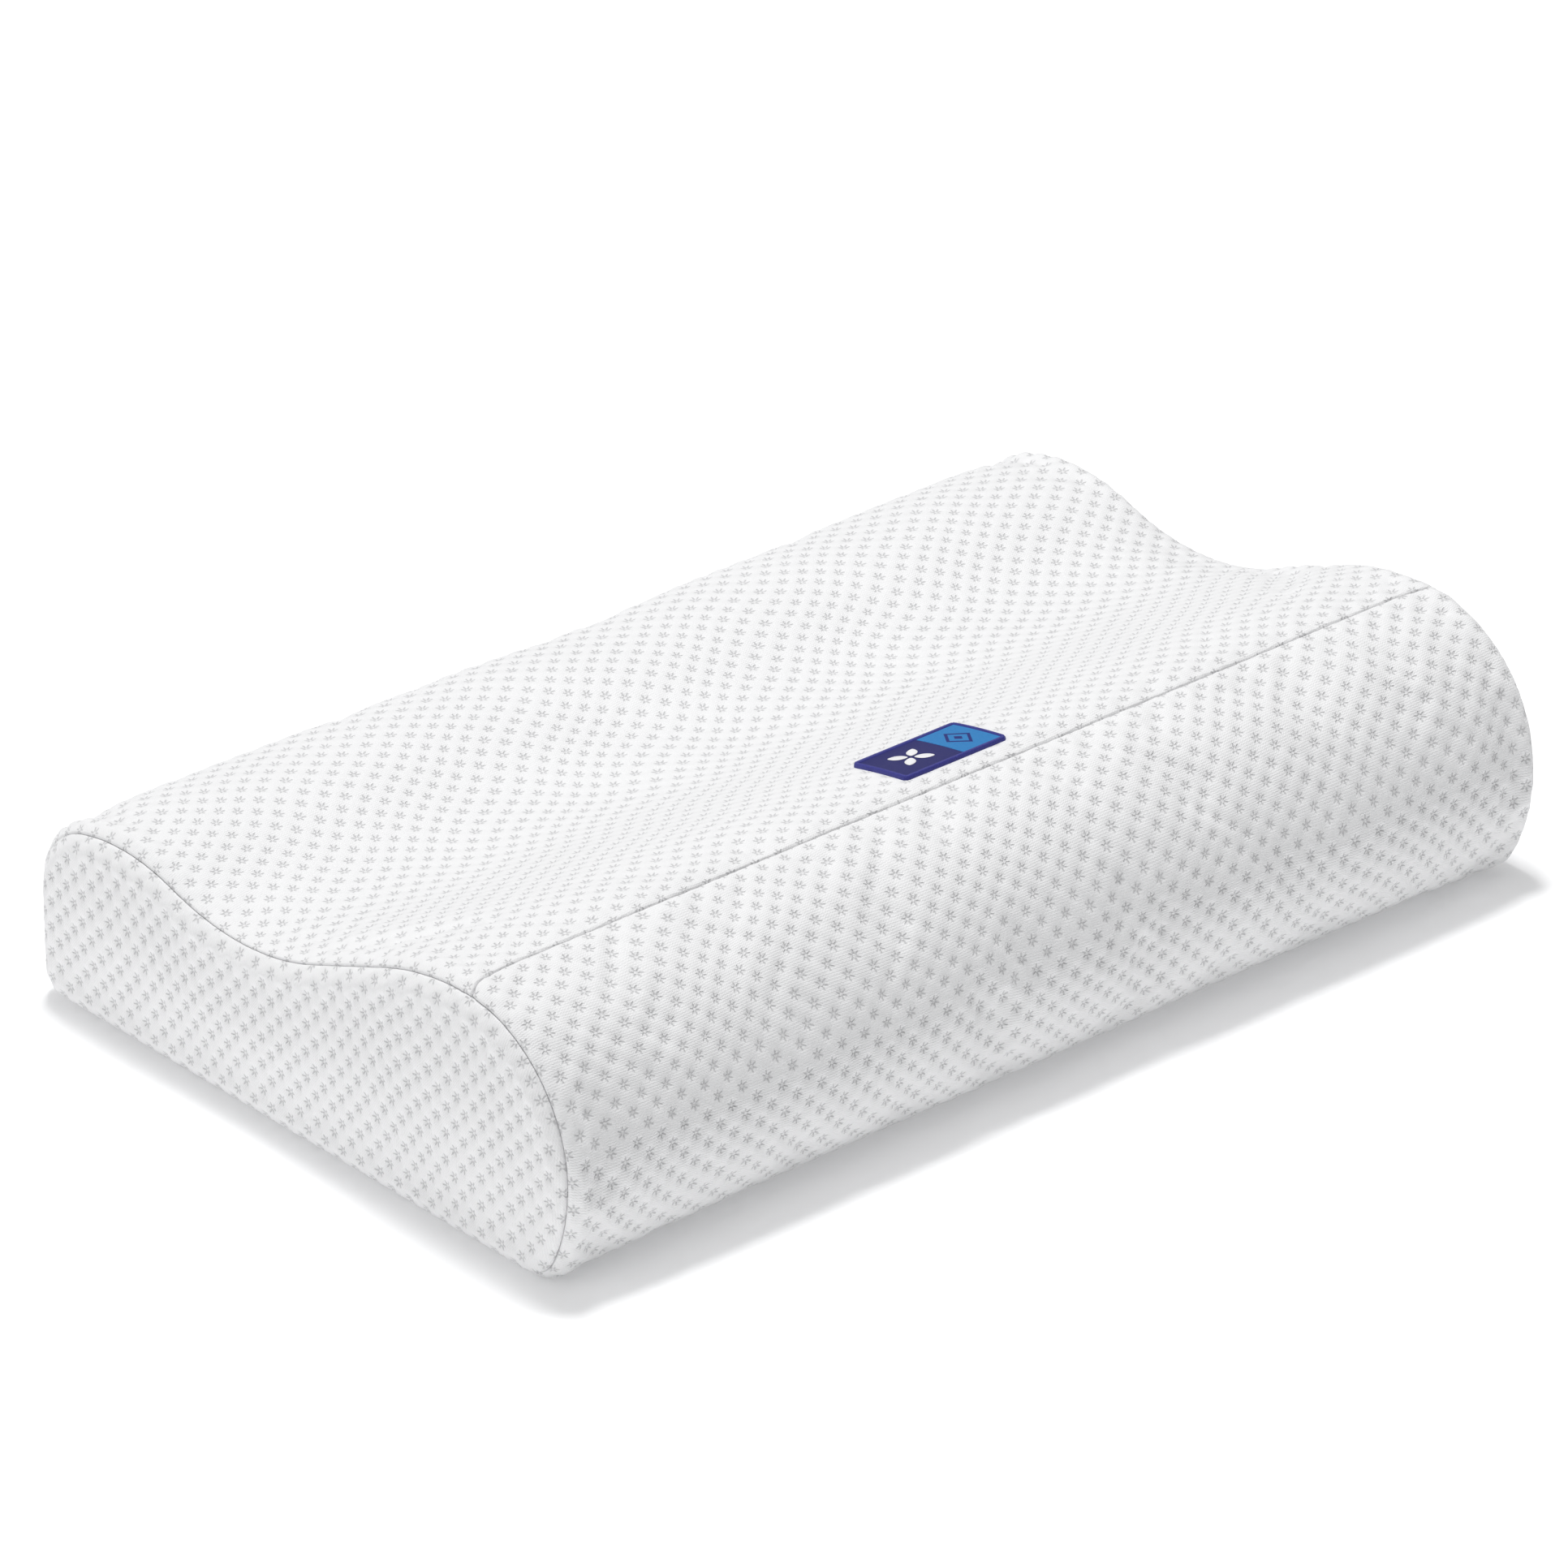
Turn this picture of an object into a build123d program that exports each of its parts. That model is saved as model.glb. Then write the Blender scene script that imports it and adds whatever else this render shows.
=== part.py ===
from build123d import *

import math
import os

# Contour bed pillow, in millimetres. X runs along the pillow, the tall lobe faces -Y, +Z is up,
# and the origin is the middle of the footprint on the surface that the pillow lies on.

# ---- cross-section of the outer fabric, in the YZ plane ----
LENGTH = 478.0
DEPTH = 305.0
ZIP_STAND_OUT = 2.5
FRONT_Y = -DEPTH / 2
BACK_Y = DEPTH / 2 - ZIP_STAND_OUT
CREST_Y, CREST_Z = -94.5, 104.3
CREST_BACK_RADIUS = 125.0
LOWER_NOSE_RADIUS = 80.0
FRONT_FOOT_RADIUS = 20.0
VALLEY_Y, VALLEY_Z = 33.0, 72.4
VALLEY_RADIUS = 115.0
BACK_CREST_Y, BACK_CREST_Z = 99.0, 83.0
BACK_CORNER_RADIUS = 36.0
BACK_FOOT_RADIUS = 14.0
END_RADIUS = 11.5
UP, DOWN, FORWARD, BACKWARD = 90.0, -90.0, 180.0, 0.0

# ---- layers, each measured inwards from the outer fabric ----
FABRIC_THICKNESS = 3.0
INNER_COVER_OUTSIDE = 3.2
INNER_COVER_THICKNESS = 0.8
CORE_GAP = 0.2

# ---- seams ----
SEAM_WIDTH = 0.8
END_SEAM_INSET = 3.0
THREAD_TOP, THREAD_BOTTOM = 0.9, 2.4
CREST_SEAM_STRAIGHT, CREST_SEAM_END_RADIUS = 444.0, 18.0
INNER_SEAM_Y, INNER_SEAM_LENGTH = 100.0, 418.0

# ---- zip along the back face ----
ZIP_Z = 28.0
ZIP_SLOT_LENGTH, ZIP_SLOT_WIDTH = 378.0, 10.0
TAPE_LENGTH, TAPE_WIDTH, TAPE_THICKNESS = 402.0, 13.1, 0.6
COIL_GAP = 1.8
COIL_WIDTH, COIL_THICKNESS = 2.0, 2.1
COIL_LENGTH = 371.2
STOP_LENGTH, STOP_WIDTH, STOP_THICKNESS = 3.0, 2.2, 2.4
ZIP_RELIEF_DEPTH, ZIP_RELIEF_WIDTH, ZIP_RELIEF_LENGTH = 5.2, 31.0, 406.0
STITCH_OFFSET, STITCH_WIDTH, STITCH_HEIGHT, STITCH_LENGTH = 8.0, 0.6, 0.4, 390.0
RUNNING_GAP = 0.3

# ---- slider and pull, at the closed end ----
SLIDER_X = 179.0
SLIDER_LENGTH, SLIDER_FRONT_WIDTH, SLIDER_REAR_WIDTH = 11.0, 8.4, 7.2
SLIDER_CORNER_RADIUS = 1.6
PLATE_THICKNESS = 0.8
FRONT_PLATE_SUNK = 0.6
FLANGE_LENGTH, FLANGE_THICKNESS = 9.0, 0.6
POST_LENGTH, POST_WIDTH, POST_X = 3.8, 1.2, 2.9
ARCH_LENGTH, ARCH_WIDTH, ARCH_THICKNESS = 6.8, 1.6, 0.7
PULL_THICKNESS = 1.0
PULL_EYE_WIDTH, PULL_ARM_WIDTH, PULL_ARM_LENGTH = 5.0, 1.2, 4.6
PULL_TAB_LENGTH, PULL_TAB_WIDTH, PULL_TAB_RADIUS = 21.6, 6.4, 2.4
PULL_HOLE_LENGTH, PULL_HOLE_WIDTH = 6.0, 2.4

# ---- woven label behind the crest seam ----
LABEL_X, LABEL_FRONT_GAP = 4.0, 10.0
LABEL_LENGTH, LABEL_WIDTH, LABEL_CORNER = 50.0, 30.0, 2.5
LABEL_LIFT = 0.05
LABEL_RIM_WIDTH, LABEL_RIM_HEIGHT = 2.0, 1.8
LABEL_BASE_HEIGHT, LABEL_DETAIL_HEIGHT = 1.0, 0.3
FIELD_LENGTH, FIELD_WIDTH, FIELD_END_GAP = 18.0, 26.0, 2.0
PETAL_COUNT, PETAL_LENGTH, PETAL_WIDTH, PETAL_GAP = 4, 7.4, 4.2, 1.2
MOTIF_FROM_LEFT = 16.0

# ---- blank care label in the back seam ----
CARE_X, CARE_WIDTH, CARE_DROP = 211.0, 28.0, 21.0
CARE_PLY, CARE_INNER_GAP, CARE_LOOP_GAP = 0.35, 0.3, 0.5
CARE_NECK = 0.7


def outline_arcs():
    """The arcs of the cross-section, from the front foot over the top to the back foot.

    Each row is centre, radius, sense (1 bulges out, -1 is hollow) and the outward normal's
    angle at its start and end. Neighbouring arcs share their normal, so they are tangent.
    """
    nose_radius = CREST_Y - FRONT_Y
    nose = (CREST_Y, CREST_Z - nose_radius)
    lower_nose = (FRONT_Y + LOWER_NOSE_RADIUS, nose[1])
    foot_drop = lower_nose[1] - FRONT_FOOT_RADIUS
    foot_reach = math.sqrt((LOWER_NOSE_RADIUS - FRONT_FOOT_RADIUS) ** 2 - foot_drop**2)
    front_foot = (lower_nose[0] - foot_reach, FRONT_FOOT_RADIUS)
    foot_normal = FORWARD + math.degrees(math.atan2(foot_drop, foot_reach))

    crest = (CREST_Y, CREST_Z - CREST_BACK_RADIUS)
    valley = (VALLEY_Y, VALLEY_Z + VALLEY_RADIUS)
    span = math.dist(crest, valley)
    line_of_centres = math.degrees(math.atan2(valley[1] - crest[1], valley[0] - crest[0]))
    turn = math.degrees(math.acos((CREST_BACK_RADIUS + VALLEY_RADIUS) / span))
    slope_normal = line_of_centres + turn

    across, height = BACK_CREST_Y - VALLEY_Y, valley[1] - BACK_CREST_Z
    back_radius = (across**2 + height**2 - VALLEY_RADIUS**2) / (2 * (VALLEY_RADIUS - height))
    back_crest = (BACK_CREST_Y, BACK_CREST_Z - back_radius)
    rise_normal = math.degrees(math.atan2(valley[1] - back_crest[1], -across))

    reach = BACK_Y - BACK_CORNER_RADIUS - BACK_CREST_Y
    lift = math.sqrt((back_radius - BACK_CORNER_RADIUS) ** 2 - reach**2)
    corner = (BACK_CREST_Y + reach, back_crest[1] + lift)
    corner_normal = math.degrees(math.atan2(lift, reach))
    back_foot = (BACK_Y - BACK_FOOT_RADIUS, BACK_FOOT_RADIUS)

    return [
        (front_foot, FRONT_FOOT_RADIUS, 1, FORWARD + UP, foot_normal),
        (lower_nose, LOWER_NOSE_RADIUS, 1, foot_normal, FORWARD),
        (nose, nose_radius, 1, FORWARD, UP),
        (crest, CREST_BACK_RADIUS, 1, UP, slope_normal),
        (valley, VALLEY_RADIUS, -1, slope_normal, rise_normal),
        (back_crest, back_radius, 1, rise_normal, corner_normal),
        (corner, BACK_CORNER_RADIUS, 1, corner_normal, BACKWARD),
        (back_foot, BACK_FOOT_RADIUS, 1, BACKWARD, DOWN),
    ]


def on_arc(centre, radius, sense, normal, inset):
    """The point of an arc with this outward normal, moved inwards by inset."""
    reach = sense * radius - inset
    angle = math.radians(normal)
    return (centre[0] + reach * math.cos(angle), centre[1] + reach * math.sin(angle))


def cross_section(inset):
    """The pillow's outline moved inwards by inset: every arc keeps its centre."""
    edges, last = [], None
    for centre, radius, sense, start, end in outline_arcs():
        first = on_arc(centre, radius, sense, start, inset)
        if last and math.dist(last, first) > SEAM_WIDTH:
            edges.append(Line(last, first))
        middle = on_arc(centre, radius, sense, (start + end) / 2, inset)
        last = on_arc(centre, radius, sense, end, inset)
        edges.append(ThreePointArc(first, middle, last))
    edges.append(Line(last, edges[0] @ 0))
    return Plane.YZ * make_face(edges)


def block(x_range, y_range, z_range):
    """A box between two corners, given as a low and high value on each axis."""
    sizes = [high - low for low, high in (x_range, y_range, z_range)]
    middle = [(high + low) / 2 for low, high in (x_range, y_range, z_range)]
    return Pos(*middle) * Box(*sizes)


def about(middle, width):
    return (middle - width / 2, middle + width / 2)


def pillow_form(inset):
    """The whole pillow's outer form moved inwards by inset, with its rounded ends."""
    form = extrude(cross_section(inset), LENGTH / 2 - inset, both=True)
    faces = form.faces().sort_by(Axis.X)
    rims = faces[0].edges() + faces[-1].edges()
    return fillet(rims, END_RADIUS - inset)


def layer(outer_inset, inner_inset):
    return pillow_form(outer_inset) - pillow_form(inner_inset)


def slab(x_range):
    return block(x_range, (-DEPTH, DEPTH), (-DEPTH, DEPTH))


SEAM_X = LENGTH / 2 - END_SEAM_INSET
SLEEVE_X = SEAM_X - SEAM_WIDTH / 2
BEHIND_CREST = (BACK_CREST_Y, DEPTH)


def zip_relief(extra):
    """The room behind the zip, grown by extra, taken out of the inner cover and the core."""
    return block(
        about(0, ZIP_RELIEF_LENGTH + 2 * extra),
        (BACK_Y - ZIP_RELIEF_DEPTH - extra, DEPTH),
        about(ZIP_Z, ZIP_RELIEF_WIDTH + 2 * extra),
    )


def foam_core():
    inset = INNER_COVER_OUTSIDE + INNER_COVER_THICKNESS
    return pillow_form(inset + CORE_GAP) - zip_relief(INNER_COVER_THICKNESS + CORE_GAP)


def inner_cover_parts():
    """The thin inner cover and the thread that closes the slit in its underside."""
    outside = pillow_form(INNER_COVER_OUTSIDE) - zip_relief(0)
    inside = pillow_form(INNER_COVER_OUTSIDE + INNER_COVER_THICKNESS)
    cover = outside - (inside - zip_relief(INNER_COVER_THICKNESS))
    slit = block(
        about(0, INNER_SEAM_LENGTH),
        about(INNER_SEAM_Y, SEAM_WIDTH),
        (0, INNER_COVER_OUTSIDE + INNER_COVER_THICKNESS),
    )
    return cover - slit, cover & slit


def crest_slot():
    """The cut along the crest seam, which turns towards the front as it nears each end."""
    half = CREST_SEAM_STRAIGHT / 2
    reach = LENGTH / 2 - half
    turn = math.asin(reach / CREST_SEAM_END_RADIUS)
    lines = [Line((-half, CREST_Y), (half, CREST_Y))]
    for side in (-1, 1):
        points = [
            (
                side * (half + CREST_SEAM_END_RADIUS * math.sin(angle)),
                CREST_Y - CREST_SEAM_END_RADIUS * (1 - math.cos(angle)),
            )
            for angle in (0, turn / 2, turn)
        ]
        lines.append(ThreePointArc(*points))
    return Pos(0, 0, VALLEY_Z) * extrude(trace(lines, SEAM_WIDTH), DEPTH)


def back_slots():
    """The cut between the two long panels at the back: a seam with a wider slot for the zip."""
    seam = block(about(0, LENGTH), BEHIND_CREST, about(ZIP_Z, SEAM_WIDTH))
    slot = block(about(0, ZIP_SLOT_LENGTH), BEHIND_CREST, about(ZIP_Z, ZIP_SLOT_WIDTH))
    return seam + slot


def long_panels(shell):
    """The upper and the lower panel, parted at the crest seam and at the back."""
    sleeve = shell & slab((-SLEEVE_X, SLEEVE_X))
    lower, upper = (sleeve - crest_slot() - back_slots()).solids().sort_by(Axis.Z)
    return upper, lower


def end_panel(shell, side):
    inner = SEAM_X + SEAM_WIDTH / 2
    return shell & slab(sorted((side * inner, side * LENGTH)))


def seam_threads():
    """The lock-stitch threads that lie in the grooves between the panels."""
    band = layer(THREAD_TOP, THREAD_BOTTOM)
    sleeve = band & slab((-SLEEVE_X, SLEEVE_X))
    zip_part = slab(about(0, ZIP_SLOT_LENGTH))
    return {
        "crest_seam_thread": sleeve & crest_slot(),
        "back_seam_thread": (
            sleeve & block(about(0, LENGTH), BEHIND_CREST, about(ZIP_Z, SEAM_WIDTH))
        )
        - zip_part,
        "left_end_seam_thread": band & slab(about(-SEAM_X, SEAM_WIDTH)),
        "right_end_seam_thread": band & slab(about(SEAM_X, SEAM_WIDTH)),
    }


TAPE_FRONT = BACK_Y - FABRIC_THICKNESS
TAPE_BACK = TAPE_FRONT - TAPE_THICKNESS


def beside_zip(side, near, width):
    """A range of heights from near to near + width away from the zip's centre line."""
    return sorted((ZIP_Z + side * near, ZIP_Z + side * (near + width)))


def zip_half(side):
    """One side of the zip: its tape, its coil as a plain bar, and its row of stitching."""
    tape = block(
        about(0, TAPE_LENGTH), (TAPE_BACK, TAPE_FRONT), beside_zip(side, COIL_GAP / 2, TAPE_WIDTH)
    )
    coil = block(
        about(0, COIL_LENGTH),
        (TAPE_FRONT, TAPE_FRONT + COIL_THICKNESS),
        beside_zip(side, COIL_GAP / 2, COIL_WIDTH),
    )
    stitches = block(
        about(0, STITCH_LENGTH),
        (BACK_Y, BACK_Y + STITCH_HEIGHT),
        about(ZIP_Z + side * STITCH_OFFSET, STITCH_WIDTH),
    )
    return tape, coil, stitches


def zip_stops():
    """Two stops at the closed end, one on each tape, and one across both at the open end."""
    depth = (TAPE_FRONT, TAPE_FRONT + STOP_THICKNESS)
    closed_end = (COIL_LENGTH / 2, COIL_LENGTH / 2 + STOP_LENGTH)
    open_end = (-closed_end[1], -closed_end[0])
    top = [block(closed_end, depth, beside_zip(s, COIL_GAP / 2, STOP_WIDTH)) for s in (-1, 1)]
    bottom = block(open_end, depth, about(ZIP_Z, COIL_GAP + 2 * STOP_WIDTH))
    return Compound(top), bottom


FRONT_PLATE = BACK_Y - FRONT_PLATE_SUNK
SLIDER_FACE = FRONT_PLATE + PLATE_THICKNESS
PULL_AXIS_Y = SLIDER_FACE + RUNNING_GAP + PULL_THICKNESS / 2
ARCH_UNDERSIDE = PULL_AXIS_Y + PULL_THICKNESS / 2 + RUNNING_GAP


def slider_plate(y_range, narrower):
    """One plate of the slider, wider at its leading end, with rounded corners."""
    half, front, rear = SLIDER_LENGTH / 2, SLIDER_FRONT_WIDTH / 2, SLIDER_REAR_WIDTH / 2
    corners = [
        (SLIDER_X + half, ZIP_Z + front - narrower),
        (SLIDER_X - half, ZIP_Z + rear - narrower),
        (SLIDER_X - half, ZIP_Z - rear + narrower),
        (SLIDER_X + half, ZIP_Z - front + narrower),
    ]
    face = make_face(Polyline(*corners, close=True))
    face = fillet(face.vertices(), SLIDER_CORNER_RADIUS)
    return Pos(0, y_range[1], 0) * extrude(Plane.XZ * face, y_range[1] - y_range[0])


def zip_slider():
    """Two plates joined by the post that parts the coils, side flanges and the pull's arch."""
    back = TAPE_BACK - RUNNING_GAP
    body = slider_plate((FRONT_PLATE, SLIDER_FACE), 0)
    body += slider_plate((back - PLATE_THICKNESS, back), RUNNING_GAP)
    post_x = about(SLIDER_X + POST_X, POST_LENGTH)
    body += block(post_x, (back - PLATE_THICKNESS, SLIDER_FACE), about(ZIP_Z, POST_WIDTH))
    flange_near = COIL_GAP / 2 + COIL_WIDTH + RUNNING_GAP
    for side in (-1, 1):
        body += block(
            about(SLIDER_X, FLANGE_LENGTH),
            (TAPE_FRONT + RUNNING_GAP, SLIDER_FACE),
            beside_zip(side, flange_near, FLANGE_THICKNESS),
        )
    arch_top = ARCH_UNDERSIDE + ARCH_THICKNESS
    arch = block(about(SLIDER_X, ARCH_LENGTH), (FRONT_PLATE, arch_top), about(ZIP_Z, ARCH_WIDTH))
    window = about(SLIDER_X, ARCH_LENGTH - 2 * PLATE_THICKNESS)
    arch -= block(window, (SLIDER_FACE, ARCH_UNDERSIDE), about(ZIP_Z, ARCH_WIDTH))
    return body + arch


def zip_pull():
    """The pull: a cross bar under the slider's arch, two arms and a tab with a slot."""
    flat = about(PULL_AXIS_Y, PULL_THICKNESS)
    bar = Pos(SLIDER_X, PULL_AXIS_Y, ZIP_Z) * Cylinder(PULL_THICKNESS / 2, PULL_EYE_WIDTH)
    arm_near = PULL_EYE_WIDTH / 2 - PULL_ARM_WIDTH
    arm_x = (SLIDER_X - PULL_ARM_LENGTH - PULL_TAB_RADIUS, SLIDER_X)
    arms = [block(arm_x, flat, beside_zip(s, arm_near, PULL_ARM_WIDTH)) for s in (-1, 1)]
    tab = Pos(SLIDER_X - PULL_ARM_LENGTH - PULL_TAB_LENGTH / 2, PULL_AXIS_Y, ZIP_Z) * (
        Box(PULL_TAB_LENGTH, PULL_THICKNESS, PULL_TAB_WIDTH)
    )
    tab = fillet(tab.edges().filter_by(Axis.Y), PULL_TAB_RADIUS)
    hole_x = SLIDER_X - PULL_ARM_LENGTH - PULL_TAB_LENGTH + PULL_HOLE_LENGTH
    tab -= block(about(hole_x, PULL_HOLE_LENGTH), flat, about(ZIP_Z, PULL_HOLE_WIDTH))
    return bar + arms + tab


def on_label(length, width, corner, at_x, low, high):
    """A rounded rectangle laid on the label's curve, between two heights over the fabric."""
    middle_y = CREST_Y + LABEL_FRONT_GAP + LABEL_WIDTH / 2
    outline = Pos(at_x, middle_y) * RectangleRounded(length, width, corner)
    return extrude(outline, DEPTH) & label_curve(low, high)


def label_curve(low, high):
    """A tube about the axis of the arc behind the crest, between two heights over the fabric."""
    radius = CREST_BACK_RADIUS + LABEL_LIFT
    ring = Circle(radius + high) - Circle(radius + low)
    centre = Pos(0, CREST_Y, CREST_Z - CREST_BACK_RADIUS)
    return centre * extrude(Plane.YZ * ring, LENGTH / 2, both=True)


def woven_label():
    """A patch with a raised overlocked rim, a lighter field at one end and a plain flower."""
    inner = (LABEL_LENGTH - 2 * LABEL_RIM_WIDTH, LABEL_WIDTH - 2 * LABEL_RIM_WIDTH)
    inner_corner = LABEL_CORNER - LABEL_RIM_WIDTH / 2
    low, high = LABEL_BASE_HEIGHT, LABEL_BASE_HEIGHT + LABEL_DETAIL_HEIGHT
    rim = on_label(LABEL_LENGTH, LABEL_WIDTH, LABEL_CORNER, LABEL_X, 0, LABEL_RIM_HEIGHT)
    rim -= on_label(*inner, inner_corner, LABEL_X, -LABEL_LIFT, LABEL_RIM_HEIGHT + LABEL_LIFT)
    field_x = LABEL_X + LABEL_LENGTH / 2 - FIELD_END_GAP - FIELD_LENGTH / 2
    petal = Pos(PETAL_GAP + PETAL_LENGTH / 2, 0) * Ellipse(PETAL_LENGTH / 2, PETAL_WIDTH / 2)
    flower_y = CREST_Y + LABEL_FRONT_GAP + LABEL_WIDTH / 2
    flower = Pos(LABEL_X - LABEL_LENGTH / 2 + MOTIF_FROM_LEFT, flower_y)
    quarter = 360 / PETAL_COUNT
    petals = [flower * Rot(0, 0, quarter * (i + 0.5)) * petal for i in range(PETAL_COUNT)]
    return {
        "label_rim": rim,
        "label_base": on_label(*inner, inner_corner, LABEL_X, 0, low),
        "label_field": on_label(FIELD_LENGTH, FIELD_WIDTH, inner_corner, field_x, low, high),
        "label_motif": Compound([extrude(p, DEPTH) & label_curve(low, high) for p in petals]),
    }


def care_label():
    """A blank ribbon folded into a loop that hangs from the back seam."""
    x_range = about(CARE_X, CARE_WIDTH)
    inner = BACK_Y + CARE_INNER_GAP
    outer = inner + 2 * CARE_PLY + CARE_LOOP_GAP
    radius = (outer - inner) / 2
    fold = (inner + radius, ZIP_Z - CARE_DROP)
    loop = block(x_range, (inner, outer), (fold[1], ZIP_Z + CARE_NECK / 2))
    loop -= block(
        x_range, (inner + CARE_PLY, outer - CARE_PLY), (fold[1], ZIP_Z - CARE_NECK / 2)
    )
    ring = Pos(*fold) * (Circle(radius) - Circle(radius - CARE_PLY))
    lower_half = Pos(fold[0], fold[1] - radius / 2) * Rectangle(2 * radius, radius)
    turn = Pos(x_range[0], 0, 0) * extrude(Plane.YZ * (ring & lower_half), CARE_WIDTH)
    neck = block(x_range, (BACK_Y - THREAD_TOP, inner), about(ZIP_Z, CARE_NECK))
    return loop + turn + neck


def main():
    shell = layer(0, FABRIC_THICKNESS)
    parts = {"foam_core": foam_core()}
    parts["inner_cover"], parts["inner_cover_seam"] = inner_cover_parts()
    parts["upper_panel"], parts["lower_panel"] = long_panels(shell)
    parts["left_end_panel"] = end_panel(shell, -1)
    parts["right_end_panel"] = end_panel(shell, 1)
    parts.update(seam_threads())
    for place, side in (("upper", 1), ("lower", -1)):
        tape, coil, stitches = zip_half(side)
        parts[f"zip_tape_{place}"] = tape
        parts[f"zip_coil_{place}"] = coil
        parts[f"zip_stitching_{place}"] = stitches
    parts["zip_top_stops"], parts["zip_bottom_stop"] = zip_stops()
    parts["zip_slider"] = zip_slider()
    parts["zip_pull"] = zip_pull()
    parts.update(woven_label())
    parts["care_label"] = care_label()

    os.makedirs("parts", exist_ok=True)
    for name, shape in parts.items():
        export_step(shape, f"parts/{name}.step")


main()
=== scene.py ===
"""The looks of a contour bed pillow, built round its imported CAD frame. Metres, +Z up."""

import math

import bpy
import numpy as np
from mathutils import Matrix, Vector
from mathutils.bvhtree import BVHTree
from mathutils.geometry import delaunay_2d_cdt


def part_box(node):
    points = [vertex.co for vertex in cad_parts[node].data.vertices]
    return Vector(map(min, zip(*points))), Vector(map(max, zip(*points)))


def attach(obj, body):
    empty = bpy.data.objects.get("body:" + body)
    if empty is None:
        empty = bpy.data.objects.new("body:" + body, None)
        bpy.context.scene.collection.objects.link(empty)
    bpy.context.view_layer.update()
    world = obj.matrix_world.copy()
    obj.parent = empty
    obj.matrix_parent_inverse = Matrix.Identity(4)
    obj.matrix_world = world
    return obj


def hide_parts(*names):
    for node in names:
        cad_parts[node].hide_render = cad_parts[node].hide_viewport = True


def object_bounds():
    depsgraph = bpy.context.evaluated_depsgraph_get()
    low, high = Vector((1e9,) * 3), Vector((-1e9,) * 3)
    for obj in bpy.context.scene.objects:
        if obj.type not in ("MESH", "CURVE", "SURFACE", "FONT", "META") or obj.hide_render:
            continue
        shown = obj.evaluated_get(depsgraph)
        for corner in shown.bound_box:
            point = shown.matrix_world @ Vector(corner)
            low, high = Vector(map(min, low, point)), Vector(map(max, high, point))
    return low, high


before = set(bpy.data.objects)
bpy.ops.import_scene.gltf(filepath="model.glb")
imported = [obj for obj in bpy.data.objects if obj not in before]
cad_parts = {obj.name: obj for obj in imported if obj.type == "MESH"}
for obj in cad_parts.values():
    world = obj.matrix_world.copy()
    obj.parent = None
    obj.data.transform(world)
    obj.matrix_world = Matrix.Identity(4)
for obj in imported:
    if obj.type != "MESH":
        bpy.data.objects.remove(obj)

CAD_BOX = [[float(v) for v in corner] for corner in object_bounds()]
MM = 0.001
TAU = 2 * math.pi

# ---- the cover's shape, where the frame doesn't give it ----
END_RADIUS = 11.5 * MM
SEAM_GAP = 0.8 * MM
ZIP_SLOT = 10.0 * MM
ZIP_SLOT_HALF_LENGTH = 189.0 * MM
ZIP_SLOT_RAMP = 9.0 * MM
ZIP_TOPSTITCH = 3.0 * MM
ZIP_PROUD = 0.15 * MM
ZIP_FLAT_TO, ZIP_FLAT_FADE_TO = 6.5 * MM, 11.0 * MM
TOPSTITCH_DENT, TOPSTITCH_DENT_WIDTH = 0.4 * MM, 0.8 * MM
FLOOR_CLEARANCE = 0.05 * MM
CREST_SEAM_STRAIGHT_HALF = 212.0 * MM
CREST_SEAM_END_RADIUS = 67.0 * MM

# ---- meshes ----
CLOTH_STEP = 1.32 * MM
BASE_STEP = 3.2 * MM
EDGE_STEPS = np.array((0.0, 0.18, 0.24, 0.32, 0.42, 0.54, 0.7, 0.9, 1.1)) * MM
SKIRT = 2.2 * MM

# ---- the quilted knit ----
TOP_PITCH = (11.2 * MM, 9.4 * MM)
FRONT_PITCH = (11.2 * MM, 10.6 * MM)
END_PITCH = (11.0 * MM, 9.8 * MM)
DIMPLE_DEPTH = 0.95 * MM
DIMPLE_SHARPNESS = 2.0
DIMPLE_FADE = 4.5 * MM
SEAM_ROLL = 1.1 * MM
SEAM_SWELL = 0.55 * MM
SEAM_SWELL_AT = 5.5 * MM
SEAM_SWELL_WIDTH = 4.0 * MM
PUCKER = 0.09 * MM
PUCKER_PITCH = 6.5 * MM
PUCKER_REACH = 7.0 * MM
PUCKER_DRIFTS = 9.1 * MM, 23.0 * MM
END_CROWN = 1.2 * MM
END_CROWN_REACH = 45.0 * MM
WANDER = 1.1 * MM

# ---- the knit's colour and the label's mark, in mm on the cloth ----
MOTIF_PITCH = 11.0, 10.0
STROKE_ENDS = 0.4, 2.55
STROKE_HALF_WIDTH = 0.40
SHADE_RADIUS = 3.2
ZIGZAG_PITCH, RIB_PITCH = 1.3, 0.95
MARK_X, MARK_LENGTH, MARK_WIDTH = 14.0, 5.6, 8.0

# ---- the simulated stretch of the cover ----
SIM_STEP = 6.0 * MM
SIM_FRAMES = 22
SIM_PRESSURE = 3.0
SIM_LIMIT = 1.8 * MM

# ---- layers under the cover ----
INNER_COVER_INSET = 3.4 * MM
FOAM_INSET = 4.3 * MM
ZIP_RELIEF = 4.4 * MM
ZIP_RELIEF_EDGE = 24.0 * MM, 16.0 * MM
ZIP_RELIEF_END = 210.0 * MM, 203.0 * MM
CORE_STEP = 5.0 * MM

# ---- threads ----
SEAM_THREAD_RADIUS = 0.34 * MM
SEAM_THREAD_SUNK = 1.25 * MM
SEAM_STITCH = 2.8 * MM
TOPSTITCH_LENGTH, TOPSTITCH_GAP = 2.5 * MM, 0.8 * MM
TOPSTITCH_RADIUS = 0.24 * MM
COIL_PITCH = 1.5 * MM
COIL_WIRE_RADIUS = 0.34 * MM

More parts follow.
